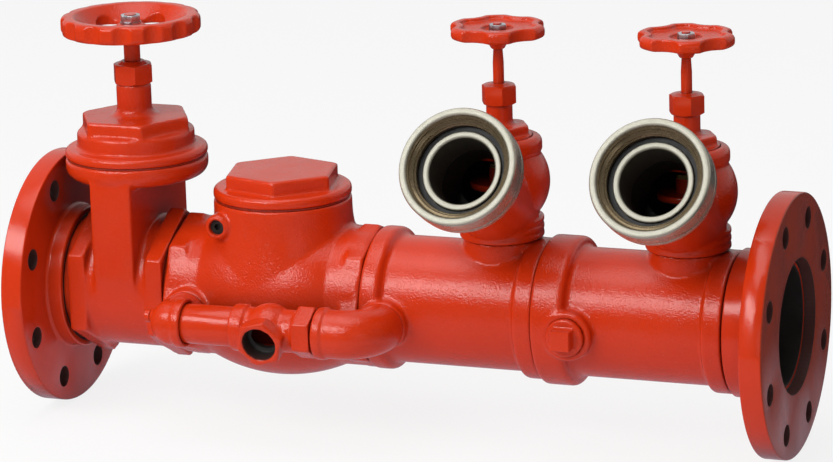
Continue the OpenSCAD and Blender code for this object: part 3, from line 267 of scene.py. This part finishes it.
class Shader:
    """A node material built from short calls. Patterns read Object coordinates."""

    def __init__(self, name):
        self.material = bpy.data.materials.new(name)
        self.material.use_nodes = True
        self.nodes = self.material.node_tree.nodes
        self.links = self.material.node_tree.links
        self.surface = self.nodes["Principled BSDF"]
        coordinate = self.nodes.new("ShaderNodeTexCoord")
        self.place = coordinate.outputs["Object"]

    def set(self, **values):
        for key, value in values.items():
            self.surface.inputs[key.replace("_", " ")].default_value = value
        return self

    def feed(self, node, socket, value):
        if hasattr(value, "is_output"):
            self.links.new(value, node.inputs[socket])
        else:
            node.inputs[socket].default_value = value

    def mapped(self, rotation=(0, 0, 0), location=(0, 0, 0)):
        """Object coordinates turned and then moved."""
        node = self.nodes.new("ShaderNodeMapping")
        node.inputs["Rotation"].default_value = rotation
        node.inputs["Location"].default_value = location
        self.links.new(self.place, node.inputs["Vector"])
        return node.outputs["Vector"]

    def noise(self, scale, detail=3.0, roughness=0.5, distortion=0.0):
        node = self.nodes.new("ShaderNodeTexNoise")
        self.links.new(self.place, node.inputs["Vector"])
        self.feed(node, "Scale", scale)
        self.feed(node, "Detail", detail)
        self.feed(node, "Roughness", roughness)
        self.feed(node, "Distortion", distortion)
        return node.outputs["Fac"]

    def ramp(self, value, low, high, out_low=0.0, out_high=1.0):
        node = self.nodes.new("ShaderNodeMapRange")
        node.clamp = True
        self.feed(node, "Value", value)
        self.feed(node, "From Min", low)
        self.feed(node, "From Max", high)
        self.feed(node, "To Min", out_low)
        self.feed(node, "To Max", out_high)
        return node.outputs["Result"]

    def math(self, operation, a, b=0.0):
        node = self.nodes.new("ShaderNodeMath")
        node.operation = operation
        self.feed(node, 0, a)
        self.feed(node, 1, b)
        return node.outputs[0]

    def mix(self, factor, a, b):
        node = self.nodes.new("ShaderNodeMix")
        node.data_type = "RGBA"
        self.feed(node, "Factor", factor)
        for socket, value in ((6, a), (7, b)):
            if hasattr(value, "is_output"):
                self.links.new(value, node.inputs[socket])
            else:
                node.inputs[socket].default_value = (*value, 1.0)
        return node.outputs[2]

    def axis(self, letter, vector=None):
        node = self.nodes.new("ShaderNodeSeparateXYZ")
        self.links.new(vector or self.place, node.inputs[0])
        return node.outputs["XYZ".index(letter)]

    def reach(self, vector, letters="YZ"):
        """Distance from an axis: the square root of the sum of two squares."""
        a, b = (self.axis(c, vector) for c in letters)
        return self.math("SQRT", self.math("ADD", self.math("MULTIPLY", a, a),
                                           self.math("MULTIPLY", b, b)))

    def beyond(self, value, limit):
        """1 where value is over limit, 0 under it, with a narrow blend."""
        return self.ramp(value, limit - MASK_BLEND, limit + MASK_BLEND)

    def under(self, value, limit):
        """1 where value is under limit, 0 over it."""
        return self.math("SUBTRACT", 1.0, self.beyond(value, limit))

    def distance(self, centre):
        """Distance from a point."""
        node = self.nodes.new("ShaderNodeVectorMath")
        node.operation = "DISTANCE"
        self.links.new(self.place, node.inputs[0])
        node.inputs[1].default_value = centre
        return node.outputs["Value"]

    def sheltered(self, distance):
        """0 in the open and 1 where other surfaces close in within a distance."""
        node = self.nodes.new("ShaderNodeAmbientOcclusion")
        node.samples = 4
        node.inputs["Distance"].default_value = distance
        return self.math("SUBTRACT", 1.0, node.outputs["AO"])

    def framed(self, place):
        """Object coordinates seen from a place given as a rotation and move matrix."""
        back = place.inverted()
        return self.mapped(rotation=tuple(back.to_euler()), location=tuple(back.translation))

    def bump(self, height, distance, strength=1.0):
        node = self.nodes.new("ShaderNodeBump")
        node.inputs["Strength"].default_value = strength
        node.inputs["Distance"].default_value = distance
        self.links.new(height, node.inputs["Height"])
        previous = self.surface.inputs["Normal"]
        if previous.is_linked:
            self.links.new(previous.links[0].from_socket, node.inputs["Normal"])
        self.links.new(node.outputs["Normal"], previous)
        return self

    def colour(self, value):
        self.links.new(value, self.surface.inputs["Base Color"])
        return self

    def rough(self, value):
        self.links.new(value, self.surface.inputs["Roughness"])
        return self


def lacquer(name, sizes, dark=None, face=None, grain=1.0):
    """Glossy red lacquer over a casting: slow drifts of tone, painted shade in the sheltered
    corners, a fine orange peel and the lumps of sand casting. dark(s) gives the share
    of painted shade, near black, inside a passage, and face(s) that of a dull, turned flange
    face."""
    s = Shader(name)
    drift = s.ramp(s.noise(14.0, 4.0, 0.55), 0.35, 0.70)
    tone = s.mix(s.math("MULTIPLY", drift, 0.4), tuple(sizes.red), tuple(sizes.red_deep))
    fleck = s.ramp(s.noise(420.0, 2.0, 0.5), 0.68, 0.74)
    tone = s.mix(s.math("MULTIPLY", fleck, 0.25), tone, (0.72, 0.11, 0.05))
    # Painted shade: where the Ambient Occlusion node finds other surfaces close by, the tone
    # darkens towards the corner colour.
    shelter = s.ramp(s.sheltered(0.055), 0.38, 0.92)
    tone = s.mix(s.math("MULTIPLY", shelter, 0.85), tone, tuple(sizes.corner_shade))
    s.set(IOR=1.5, Specular_IOR_Level=0.5, Roughness=0.2)
    gloss = s.ramp(s.noise(40.0, 3.0, 0.6), 0.3, 0.75, sizes.gloss, sizes.gloss * 2.1)
    if face is not None:
        share = face(s)
        rings = s.math("SINE", s.math("MULTIPLY", s.reach(s.place), 5200.0))
        tone = s.mix(s.math("MULTIPLY", share, 0.75), tone, (0.27, 0.045, 0.02))
        s.bump(s.math("MULTIPLY", rings, share), 0.00004, 0.5)
    # Painted shade: inside a passage the tone turns near black, standing for the shade in
    # there.
    if dark is not None:
        share = dark(s)
        black = s.mix(s.noise(60.0), (0.010, 0.009, 0.008), (0.035, 0.030, 0.026))
        tone = s.mix(share, tone, black)
        gloss = s.mix(share, gloss, (0.55, 0.55, 0.55))
    s.colour(tone).rough(gloss)
    s.bump(s.noise(104.0, 3.0, 0.6), 0.0012 * grain, 0.22)
    s.bump(s.noise(620.0, 2.0, 0.5), 0.00060 * grain, 0.55)
    return s.material


def within_run(radius):
    """Painted shade, near black, inside a radius of the run's own axis."""
    return lambda s: s.under(s.reach(s.place), radius)


def flange_dark(s):
    """Painted shade, near black, in a flange's recess and bolt holes. The holes repeat every
    eighth of a turn, so a point's angle is folded into one eighth before its distance is
    measured."""
    angle = s.math("ARCTAN2", s.axis("Z"), s.axis("Y"))
    fold = s.math("SUBTRACT", s.math("FLOORED_MODULO", angle, math.pi / 4), math.pi / 8)
    radius = s.reach(s.place)
    across = s.math("MULTIPLY", radius, s.math("SINE", fold))
    out = s.math("SUBTRACT", s.math("MULTIPLY", radius, s.math("COSINE", fold)), BOLT_CIRCLE_R)
    hole = s.math("SQRT", s.math("ADD", s.math("MULTIPLY", across, across),
                                 s.math("MULTIPLY", out, out)))
    shut = s.math("MULTIPLY", s.beyond(hole, BOLT_HOLE_R + 0.3 * MM),
                  s.beyond(radius, FLANGE_RECESS_R))
    return s.math("SUBTRACT", 1.0, shut)


def flange_face(s):
    """The outer face of either flange, which was turned flat."""
    return s.math("MAXIMUM", s.under(s.axis("X"), 0.6 * MM),
                  s.beyond(s.axis("X"), RUN_END - 0.6 * MM))


def valve_dark(i):
    """Painted shade, near black, inside a hose valve: in its hollow globe, its upright bore
    and its throat.
    """
    def share(s):
        globe = s.distance((VALVE_X[i], 0, GLOBE_Z))
        upright = s.reach(s.mapped(location=(-VALVE_X[i], 0, 0)), "XY")
        inlet = s.framed(along_inlet(i))
        along = s.axis("Z", inlet)
        throat = s.math("MULTIPLY", s.beyond(along, 18 * MM), s.math(
            "MINIMUM", s.under(s.reach(inlet, "XY"), THROAT_R + 4.2 * MM),
            s.under(along, 89.2 * MM)))
        inner = s.math("MAXIMUM", s.under(globe, GLOBE_R - 3 * MM),
                       s.under(upright, OPENING_R))
        return s.math("MAXIMUM", inner, throat)
    return share


def port_dark(s):
    """Painted shade, near black, inside the mouth of the tee's test port."""
    port = s.framed(along_port())
    return s.math("MULTIPLY", s.under(s.reach(port, "XY"), PORT_HOLE_R),
                  s.beyond(s.axis("Z", port), 8 * MM))


def band(s, value, low, high):
    """1 where value is between two limits."""
    return s.math("MULTIPLY", s.beyond(value, low), s.under(value, high))


def coupling_wear_and_shade(s, vector, tone, gloss):
    """Wear and painted shade on a coupling, by the distance from the inlet's axis and the
    height
    along it: ivory on the two end faces, brown in the thread, black behind it, and painted
    shade, near black, in the bore. Returns the tone and the roughness, and links the share of
    bare metal."""
    radius, along = s.reach(vector, "XY"), s.axis("Z", vector)
    ends = s.math("MAXIMUM", s.beyond(along, SWIVEL_FACE - 0.6 * MM), s.math(
        "MULTIPLY", s.beyond(along, NOZZLE_END - 0.4 * MM),
        s.under(radius, NOZZLE_R + 0.1 * MM)))
    ivory = s.mix(s.noise(180.0, 4.0, 0.7), (0.62, 0.60, 0.50), (0.44, 0.42, 0.33))
    brown = s.mix(s.noise(240.0, 4.0, 0.7), (0.34, 0.25, 0.13), (0.14, 0.09, 0.045))
    inner = NOZZLE_R + 0.7 * MM
    thread = s.math("MULTIPLY", band(s, radius, inner, FLARE_R + 0.6 * MM),
                    band(s, along, 100 * MM, SWIVEL_FACE - 1.2 * MM))
    behind = s.math("MULTIPLY", band(s, radius, inner, 40.5 * MM),
                    s.under(along, NOZZLE_END + 1.5 * MM))
    # Painted shade: the bore turns dark and loses its plating, standing for the shade inside
    # it.
    bore = s.under(radius, THROAT_R + 0.4 * MM)
    tone = s.mix(ends, tone, ivory)
    tone = s.mix(s.math("MULTIPLY", thread, 0.9), tone, brown)
    tone = s.mix(s.math("MULTIPLY", behind, 0.9), tone, (0.020, 0.014, 0.010))
    tone = s.mix(bore, tone, (0.045, 0.038, 0.028))
    gloss = s.mix(ends, gloss, (0.42, 0.42, 0.42))
    gloss = s.math("MAXIMUM", gloss, s.math("MULTIPLY", bore, 0.5))
    plate = s.math("SUBTRACT", 0.72, s.math("MULTIPLY", ends, 0.62))
    s.links.new(s.math("MULTIPLY", plate, s.math("SUBTRACT", 1.0, bore)),
                s.surface.inputs["Metallic"])
    return tone, gloss


def metal(name, tones, roughness, grime, place=None):
    """Turned metal: two tones mixed by a slow noise, roughness that follows it, and
    brown grime in its sheltered places. A coupling, whose place turns Object coordinates
    into its own, also has its wear, painted shade in its bore, and rings as a sine of the
    height along its axis."""
    s = Shader(name)
    patch = s.ramp(s.noise(55.0, 4.0, 0.6, 0.4), 0.35, 0.7)
    tone = s.mix(patch, *tones)
    gloss = s.ramp(patch, 0.0, 1.0, *roughness)
    shelter = s.ramp(s.sheltered(0.022), 0.22, 0.70)
    stain = s.math("MULTIPLY", shelter, s.ramp(s.noise(110.0, 4.0, 0.7), 0.25, 0.6))
    specks = s.ramp(s.noise(260.0, 3.0, 0.6), 0.60, 0.70)
    stain = s.math("MAXIMUM", stain, s.math("MULTIPLY", specks, 0.35))
    tone = s.mix(stain, tone, grime)
    gloss = s.math("ADD", gloss, s.math("MULTIPLY", stain, 0.25))
    if place is None:
        s.set(Metallic=1.0)
        s.colour(tone).rough(gloss)
    else:
        vector = s.framed(place)
        tone, gloss = coupling_wear_and_shade(s, vector, tone, gloss)
        s.colour(tone).rough(gloss)
        rings = s.math("SINE", s.math("MULTIPLY", s.axis("Z", vector), 9000.0))
        s.bump(rings, 0.00003, 0.5)
    s.bump(s.noise(700.0, 3.0, 0.6), 0.00008, 0.35)
    return s.material


def plain(name, colour_a, colour_b, rough, scale=120.0, distance=0.0002, metallic=0.0):
    """Rubber, packing cord, bare metal, seams and plugs: two tones and a fine tooth."""
    s = Shader(name)
    patch = s.noise(scale, 4.0, 0.6)
    s.set(Metallic=metallic)
    s.colour(s.mix(s.ramp(patch, 0.35, 0.7), colour_a, colour_b))
    s.rough(s.ramp(patch, 0.3, 0.7, rough * 0.8, rough * 1.2))
    s.bump(s.noise(scale * 6.0, 3.0, 0.6), distance, 0.4)
    return s.material


FINISH = {}


def finishes(sizes):
    """Makes the shared finishes once."""
    if FINISH:
        return FINISH
    FINISH["red"] = lacquer("Red lacquer", sizes)
    FINISH["smooth_red"] = lacquer("Red lacquer on turned metal", sizes, grain=0.35)
    FINISH["flange_red"] = lacquer("Red lacquer on flange", sizes, flange_dark,
                                   flange_face, 0.3)
    FINISH["pipe_red"] = lacquer("Red lacquer on pipe", sizes, within_run(51.5 * MM),
                                 None, 0.35)
    FINISH["run_red"] = lacquer("Red lacquer on run casting", sizes,
                                within_run(50.5 * MM))
    FINISH["port_red"] = lacquer("Red lacquer on tee", sizes, port_dark)
    FINISH["seam"] = plain("Painted joint", (0.26, 0.014, 0.003), (0.36, 0.020, 0.004), 0.45)
    # Painted shade: the hinge plug is near black, standing for the shade in the hole it sits
    # in.
    FINISH["plug"] = plain("Plug in hole shade", (0.010, 0.009, 0.008), (0.03, 0.02, 0.015), 0.6)
    for i in (0, 1):
        FINISH["valve_red%d" % i] = lacquer("Red lacquer on hose valve %d" % (i + 1),
                                            sizes, valve_dark(i))
        FINISH["nickel%d" % i] = metal(
            "Nickel plate %d" % (i + 1), (tuple(sizes.nickel), (0.40, 0.36, 0.29)),
            (0.16, 0.34), (0.075, 0.045, 0.022), along_inlet(i))
    FINISH["zinc"] = metal("Zinc plate", ((0.55, 0.60, 0.66), (0.80, 0.82, 0.84)),
                           (0.22, 0.4), (0.10, 0.09, 0.08))
    FINISH["brass"] = plain("Bare brass", (0.55, 0.36, 0.12), (0.72, 0.52, 0.22), 0.3,
                            metallic=1.0)
    FINISH["steel"] = plain("Bare steel", (0.35, 0.35, 0.36), (0.55, 0.55, 0.56), 0.3,
                            metallic=1.0)
    FINISH["rubber"] = plain("Black rubber", (0.012, 0.012, 0.013), (0.03, 0.03, 0.03), 0.6)
    FINISH["packing"] = plain("Packing cord", (0.55, 0.50, 0.42), (0.72, 0.68, 0.6), 0.9,
                              scale=400.0, distance=0.0006)
    return FINISH


# ---------------------------------------------------------------------- sizes

class ConnectionSettings(bpy.types.PropertyGroup):
    """Sizes and colours of the dressed connection."""

    red: FloatVectorProperty(
        name="Red", description="Colour of the lacquer in full light",
        subtype="COLOR", size=3, min=0.0, max=1.0, default=(0.66, 0.037, 0.004))
    red_deep: FloatVectorProperty(
        name="Deep red", description="Colour of the lacquer where it lies thicker",
        subtype="COLOR", size=3, min=0.0, max=1.0, default=(0.53, 0.028, 0.0035))
    # Painted shade: the lacquer darkens to this colour in its sheltered corners, where shade
    # falls.
    corner_shade: FloatVectorProperty(
        name="Crevice", description="Colour of the dirt in the inner corners",
        subtype="COLOR", size=3, min=0.0, max=1.0, default=(0.10, 0.010, 0.005))
    nickel: FloatVectorProperty(
        name="Nickel", description="Colour of the plated hose couplings",
        subtype="COLOR", size=3, min=0.0, max=1.0, default=(0.50, 0.48, 0.38))
    gloss: FloatProperty(
        name="Lacquer roughness", description="Roughness of the shiniest lacquer",
        min=0.02, max=0.6, default=0.13)
    voxel: FloatProperty(
        name="Casting step", description="Size of the grid that castings are skinned on",
        subtype="DISTANCE", unit="LENGTH", min=0.0006, max=0.004, default=0.0015)
    passes: IntProperty(
        name="Softening", description="How often a casting's skin is smoothed",
        min=0, max=40, default=7)
    thread_pitch: FloatProperty(
        name="Hose thread pitch", description="Rise of the coupling's thread in a turn",
        subtype="DISTANCE", unit="LENGTH", min=0.001, max=0.006, default=0.0034)
    thread_depth: FloatProperty(
        name="Hose thread depth", description="Depth of the coupling's thread",
        subtype="DISTANCE", unit="LENGTH", min=0.0002, max=0.003, default=0.0011)


def settings():
    return bpy.context.scene.hose_connection


# ----------------------------------------------------------------- operators

class STAGE_OT_connection(bpy.types.Operator):
    """Make the floor, the studio light and the camera"""
    bl_idname = "connection.stage"
    bl_label = "Stage"

    def execute(self, context):
        floor_z = float(CAD_BOX[0][2]) - 0.0005
        mesh = bpy.data.meshes.new("floor")
        half = 14.0
        mesh.from_pydata(
            [(-half, -half, floor_z), (half, -half, floor_z),
             (half, half, floor_z), (-half, half, floor_z)], [], [(0, 1, 2, 3)])
        floor = bpy.data.objects.new("floor", mesh)
        context.scene.collection.objects.link(floor)
        mesh.materials.append(self.paper())
        self.sky(context)
        self.lamps(context)
        self.camera(context)
        return {"FINISHED"}

    @staticmethod
    def paper():
        """White paper that shows its own white to the camera, less the shadow on it.
        Mirrors see it as a violet grey that falls to dark away from the object."""
        material = bpy.data.materials.new("White floor")
        material.use_nodes = True
        nodes, links = material.node_tree.nodes, material.node_tree.links
        surface = nodes["Principled BSDF"]
        surface.inputs["Base Color"].default_value = (0.82, 0.82, 0.82, 1.0)
        surface.inputs["Roughness"].default_value = 0.9
        surface.inputs["Specular IOR Level"].default_value = 0.0
        glow = nodes.new("ShaderNodeEmission")
        path = nodes.new("ShaderNodeLightPath")
        place = nodes.new("ShaderNodeTexCoord")
        far = nodes.new("ShaderNodeVectorMath")
        far.operation = "DISTANCE"
        far.inputs[1].default_value = (0.33, -0.10, -0.11)
        links.new(place.outputs["Object"], far.inputs[0])
        fall = nodes.new("ShaderNodeValToRGB")
        fall.color_ramp.elements[0].position = 0.34
        fall.color_ramp.elements[0].color = (0.50, 0.40, 0.46, 1.0)
        fall.color_ramp.elements[1].position = 0.60
        fall.color_ramp.elements[1].color = (0.050, 0.042, 0.050, 1.0)
        links.new(far.outputs["Value"], fall.inputs["Fac"])
        tint = nodes.new("ShaderNodeMix")
        tint.data_type = "RGBA"
        links.new(path.outputs["Is Glossy Ray"], tint.inputs["Factor"])
        tint.inputs[6].default_value = (1.0, 1.0, 1.0, 1.0)
        links.new(fall.outputs["Color"], tint.inputs[7])
        links.new(tint.outputs[2], glow.inputs["Color"])
        share = nodes.new("ShaderNodeMath")
        share.operation = "MULTIPLY_ADD"
        share.inputs[1].default_value = 0.84
        links.new(path.outputs["Is Camera Ray"], share.inputs[0])
        links.new(path.outputs["Is Glossy Ray"], share.inputs[2])
        mix = nodes.new("ShaderNodeMixShader")
        links.new(share.outputs[0], mix.inputs["Fac"])
        links.new(surface.outputs[0], mix.inputs[1])
        links.new(glow.outputs[0], mix.inputs[2])
        links.new(mix.outputs[0], nodes["Material Output"].inputs["Surface"])
        return material

    @staticmethod
    def sky(context):
        """White for the camera. Mirrors see a light grey behind the object and a dark
        grey in front of it, and its light is brighter from the left than the right."""
        world = bpy.data.worlds.new("Studio")
        context.scene.world = world
        world.use_nodes = True
        nodes, links = world.node_tree.nodes, world.node_tree.links
        background = nodes["Background"]
        path = nodes.new("ShaderNodeLightPath")
        place = nodes.new("ShaderNodeTexCoord")
        split = nodes.new("ShaderNodeSeparateXYZ")
        links.new(place.outputs["Generated"], split.inputs[0])

        def ranged(axis, *limits):
            """Strength that follows the direction's share along an axis."""
            node = nodes.new("ShaderNodeMapRange")
            for socket, value in zip(("From Min", "From Max", "To Min", "To Max"), limits):
                node.inputs[socket].default_value = value
            links.new(split.outputs[axis], node.inputs["Value"])
            return node.outputs["Result"]

        mirror = nodes.new("ShaderNodeMath")
        mirror.operation = "MAXIMUM"
        links.new(path.outputs["Is Glossy Ray"], mirror.inputs[0])
        links.new(path.outputs["Is Transmission Ray"], mirror.inputs[1])
        seen = nodes.new("ShaderNodeMix")
        links.new(ranged("X", -0.9, 0.9, 0.62, 0.16), seen.inputs[2])
        links.new(mirror.outputs[0], seen.inputs["Factor"])
        links.new(ranged("Y", -0.35, 0.45, 0.07, 0.60), seen.inputs[3])
        final = nodes.new("ShaderNodeMix")
        links.new(path.outputs["Is Camera Ray"], final.inputs["Factor"])
        links.new(seen.outputs[0], final.inputs[2])
        final.inputs[3].default_value = 1.0
        links.new(final.outputs[0], background.inputs["Strength"])
        background.inputs["Color"].default_value = (1.0, 1.0, 1.0, 1.0)

    @staticmethod
    def lamps(context):
        centre = np.array((0.33, 0.0, 0.06))
        for name, azimuth, elevation, distance, wide, high, watts in (
                ("Window", -24.0, 36.0, 3.0, 2.6, 1.0, 52.0),
                ("Overhead", -30.0, 78.0, 2.6, 2.2, 1.6, 22.0),
                ("Low fill", 40.0, 8.0, 4.0, 1.5, 1.5, 4.0)):
            az, el = math.radians(azimuth), math.radians(elevation)
            way = np.array((math.sin(az) * math.cos(el), -math.cos(az) * math.cos(el),
                            math.sin(el)))
            data = bpy.data.lights.new(name, "AREA")
            data.shape = "RECTANGLE"
            data.size, data.size_y = wide, high
            data.energy = watts
            lamp = bpy.data.objects.new(name, data)
            context.scene.collection.objects.link(lamp)
            lamp.location = centre + way * distance
            lamp.rotation_euler = (math.pi / 2 - el, 0.0, az)

    @staticmethod
    def camera(context):
        az, el, roll = (math.radians(v) for v in (21.0, 14.464, -1.698))
        back = np.array((math.sin(az) * math.cos(el), -math.cos(az) * math.cos(el),
                         math.sin(el)))
        right = np.array((math.cos(az), math.sin(az), 0.0))
        up = np.cross(back, right)
        across = math.cos(roll) * right + math.sin(roll) * up
        upward = -math.sin(roll) * right + math.cos(roll) * up
        target = np.array((338.29, 0.0, 59.34)) * MM
        spot = target + back * 3329.4 * MM
        data = bpy.data.cameras.new("Camera")
        data.sensor_fit = "HORIZONTAL"
        data.sensor_width = 36.0
        data.lens = 3953.15 / 833.0 * 36.0
        data.clip_end = 60.0
        camera = bpy.data.objects.new("Camera", data)
        context.scene.collection.objects.link(camera)
        camera.matrix_world = Matrix((
            (across[0], upward[0], back[0], spot[0]),
            (across[1], upward[1], back[1], spot[1]),
            (across[2], upward[2], back[2], spot[2]),
            (0, 0, 0, 1)))
        context.scene.camera = camera


class CASTINGS_OT_connection(bpy.types.Operator):
    """Soften the cast bodies, caps, elbows and pipe sections"""
    bl_idname = "connection.castings"
    bl_label = "Castings"

    def execute(self, context):
        s, finish = settings(), finishes(settings())
        fine = s.voxel * 0.72
        for node, step, passes, keep, red in (
                ("gate_body", s.voxel, s.passes, 0.6, "run_red"),
                ("gate_bonnet", s.voxel, s.passes, 0.5, "red"),
                ("check_body", s.voxel, s.passes + 4, 0.45, "run_red"),
                ("check_cap", s.voxel, s.passes - 2, 0.5, "red"),
                ("manifold_left", s.voxel, s.passes - 1, 0.45, "run_red"),
                ("manifold_right", s.voxel, s.passes - 1, 0.45, "run_red"),
                ("manifold_plug", fine, 5, 0.7, "red"),
                ("bypass_left_elbow", fine, 7, 0.7, "red"),
                ("bypass_tee", fine, 8, 0.8, "port_red"),
                ("bypass_right_elbow", fine, 6, 0.7, "red")):
            mesh = casting(node, step, passes, keep)
            if node == "gate_body":
                held(mesh, node, *GATE_GUIDE)
            shown(node + "_cast", mesh, "run", finish[red], "red_paint", node)
        for i in (1, 2):
            for part, passes in (("body", 7), ("bonnet", 4)):
                node = "hose%d_%s" % (i, part)
                mesh = casting(node, fine, passes, 0.45)
                red = finish["valve_red%d" % (i - 1) if part == "body" else "red"]
                shown(node + "_cast", mesh, "run", red, "red_paint", node)
        return {"FINISHED"}


class FLANGES_OT_connection(bpy.types.Operator):
    """Ease the edges of the flanges, the gland nuts and the bypass pipe"""
    bl_idname = "connection.flanges"
    bl_label = "Flanges and nuts"

    def execute(self, context):
        finish = finishes(settings())
        for node in ("left_flange", "right_flange"):
            shown(node + "_turned", eased(node, 0.9 * MM, 3), "run", finish["flange_red"],
                  "red_paint", node, smooth=30.0)
        for node in ("gate_gland_nut", "hose_gland_nuts"):
            shown(node + "_turned", eased(node, 0.5 * MM), "run", finish["smooth_red"],
                  "red_paint", node, smooth=30.0)
        shown("bypass_nipple_turned", eased("bypass_nipple", 0.2 * MM), "run",
              finish["smooth_red"], "red_paint", "bypass_nipple")
        return {"FINISHED"}


class WHEELS_OT_connection(bpy.types.Operator):
    """Soften the handwheels and their nuts"""
    bl_idname = "connection.wheels"
    bl_label = "Handwheels"

    def execute(self, context):
        finish = finishes(settings())
        shown("gate_handwheel_cast", casting("gate_handwheel", 0.9 * MM, 10, 0.7),
              "gate_spindle", finish["red"], "red_paint", "gate_handwheel")
        shown("gate_wheel_nut_turned", eased("gate_wheel_nut", 0.25 * MM), "gate_spindle",
              finish["zinc"], "zinc", "gate_wheel_nut")
        for i in (1, 2):
            shown("hose%d_handwheel_cast" % i,
                  casting("hose%d_handwheel" % i, 0.8 * MM, 16, 0.7),
                  "hose%d_spindle" % i, finish["red"], "red_paint", "hose%d_handwheel" % i)
            shown("hose%d_wheel_nut_turned" % i,
                  eased("hose%d_wheel_nut" % i, 0.25 * MM),
                  "hose%d_spindle" % i, finish["zinc"], "zinc", "hose%d_wheel_nut" % i)
        return {"FINISHED"}


class COUPLINGS_OT_connection(bpy.types.Operator):
    """Turn the plated hose couplings with their threads"""
    bl_idname = "connection.couplings"
    bl_label = "Hose couplings"

    def execute(self, context):
        for i in (0, 1):
            valve, place = "hose%d" % (i + 1), along_inlet(i)
            for piece, outline, segments, ripple, body in (
                    ("swivel", self.swivel(), 192, self.thread, valve + "_coupling"),
                    ("tailpiece", self.tailpiece(), 160, None, "run")):
                node = "%s_%s" % (valve, piece)
                mesh = turned(node + "_turned", outline, place, segments, ripple)
                shown(node + "_turned", mesh, body, finishes(settings())["nickel%d" % i],
                      "nickel", node)
        return {"FINISHED"}

    @staticmethod
    def thread(u, r, z):
        """A round thread: depth times a raised cosine of height over pitch less the
        turn, faded out over a millimetre at both ends of the threaded band."""
        s = settings()
        low, high = SWIVEL_BACK + 11.5 * MM, SWIVEL_FACE - 2.4 * MM
        inside = (r < FLARE_R + 0.3 * MM) & (z > low - 1e-9) & (z < high + 1e-9)
        turn = 2 * math.pi * z / s.thread_pitch - u
        fade = np.clip(np.minimum(z - low, high - z) / MM, 0, 1)
        return inside * fade * s.thread_depth * (0.5 + 0.5 * np.cos(turn))

    @staticmethod
    def swivel():
        """The swivel's closed outline: a grooved rim, a narrow lip, and a mouth whose
        radius narrows from the flare to the thread as a power of the depth."""
        back, face = SWIVEL_BACK / MM, SWIVEL_FACE / MM
        hole, thread, flare = NOZZLE_HOLE_R / MM, THREAD_R / MM, FLARE_R / MM
        rim = rounded([
            (hole, back), (48.2, back, 1.6), (49.5, back + 1.5, 1.0),
            (49.5, back + 6.5, 0.6), (48.6, back + 7.2, 0.5), (48.6, back + 8.2, 0.5),
            (50.0, back + 9.0, 0.8), (50.0, face - 2.0, 1.6), (48.6, face, 1.2),
            (45.0, face, 0.8), (43.6, face - 1.4, 0.5)], 0.6)
        depth = np.linspace(face - 2.4, back + 11.5, 90)
        spread = np.clip((depth - face + 8.5) / 6.1, 0, 1) ** 1.2
        mouth = np.stack((thread + (flare - thread) * spread, depth), axis=-1)
        seat = np.array([(thread, back + 5.5), (hole, back + 5.5)])
        return np.concatenate((rim, mouth, seat)) * MM

    @staticmethod
    def tailpiece():
        """The tailpiece's closed outline: a screwed tail, a collar and the nozzle."""
        bore, nozzle, end = THROAT_R / MM, NOZZLE_R / MM, NOZZLE_END / MM
        return rounded([
            (bore, 74.5, 0), (31.45, 74.5, 0.3), (31.45, 90.3, 0), (40.0, 90.3, 1.0),
            (40.0, 95.5, 1.0), (nozzle, 95.5, 0.3), (nozzle, end - 1.0, 0.5),
            (32.6, end, 0.6), (29.4, end, 1.2), (bore, end - 1.4, 0.8)], 0.4) * MM


class FINISHES_OT_connection(bpy.types.Operator):
    """Give every remaining solid its finish"""
    bl_idname = "connection.finishes"
    bl_label = "Finishes"

    def execute(self, context):
        finish = finishes(settings())
        by_slot = {
            "red_paint": "smooth_red", "pipe_paint": "pipe_red", "nickel": "nickel0",
            "zinc": "zinc", "steel": "steel", "brass": "brass", "rubber": "rubber",
            "packing": "packing"}
        special = {"gate_bonnet_gasket": "seam", "check_cap_gasket": "seam",
                   "hinge_plug": "plug", "hose1_disc": "smooth_red",
                   "hose2_disc": "smooth_red"}
        slots = {p["node"]: p["material_slot"] for p in frame["record"]["subparts"]}
        for node, piece in frame["nodes"].items():
            material = finish[special.get(node, by_slot[slots[node]])]
            for entry in piece.material_slots:
                entry.material = material
            if not piece.material_slots:
                piece.data.materials.append(material)
        return {"FINISHED"}


class CONNECTION_PT_panel(bpy.types.Panel):
    """The steps that dress the connection"""
    bl_idname = "CONNECTION_PT_panel"
    bl_label = "Fire Hose Connection"
    bl_space_type = "VIEW_3D"
    bl_region_type = "UI"
    bl_category = "Connection"

    def draw(self, context):
        for key in ConnectionSettings.__annotations__:
            self.layout.prop(context.scene.hose_connection, key)
        for step in STEPS:
            self.layout.operator(step.bl_idname)


STEPS = (STAGE_OT_connection, CASTINGS_OT_connection, FLANGES_OT_connection,
         WHEELS_OT_connection, COUPLINGS_OT_connection, FINISHES_OT_connection)


def register():
    bpy.utils.register_class(ConnectionSettings)
    for step in STEPS:
        bpy.utils.register_class(step)
    bpy.utils.register_class(CONNECTION_PT_panel)
    bpy.types.Scene.hose_connection = PointerProperty(type=ConnectionSettings)


def unregister():
    del bpy.types.Scene.hose_connection
    bpy.utils.unregister_class(CONNECTION_PT_panel)
    for step in reversed(STEPS):
        bpy.utils.unregister_class(step)
    bpy.utils.unregister_class(ConnectionSettings)


def main():
    """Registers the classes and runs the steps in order."""
    register()
    bpy.context.scene.view_settings.view_transform = "Standard"
    bpy.ops.connection.stage()
    bpy.ops.connection.castings()
    bpy.ops.connection.flanges()
    bpy.ops.connection.wheels()
    bpy.ops.connection.couplings()
    bpy.ops.connection.finishes()


if __name__ == "__main__":
    main()
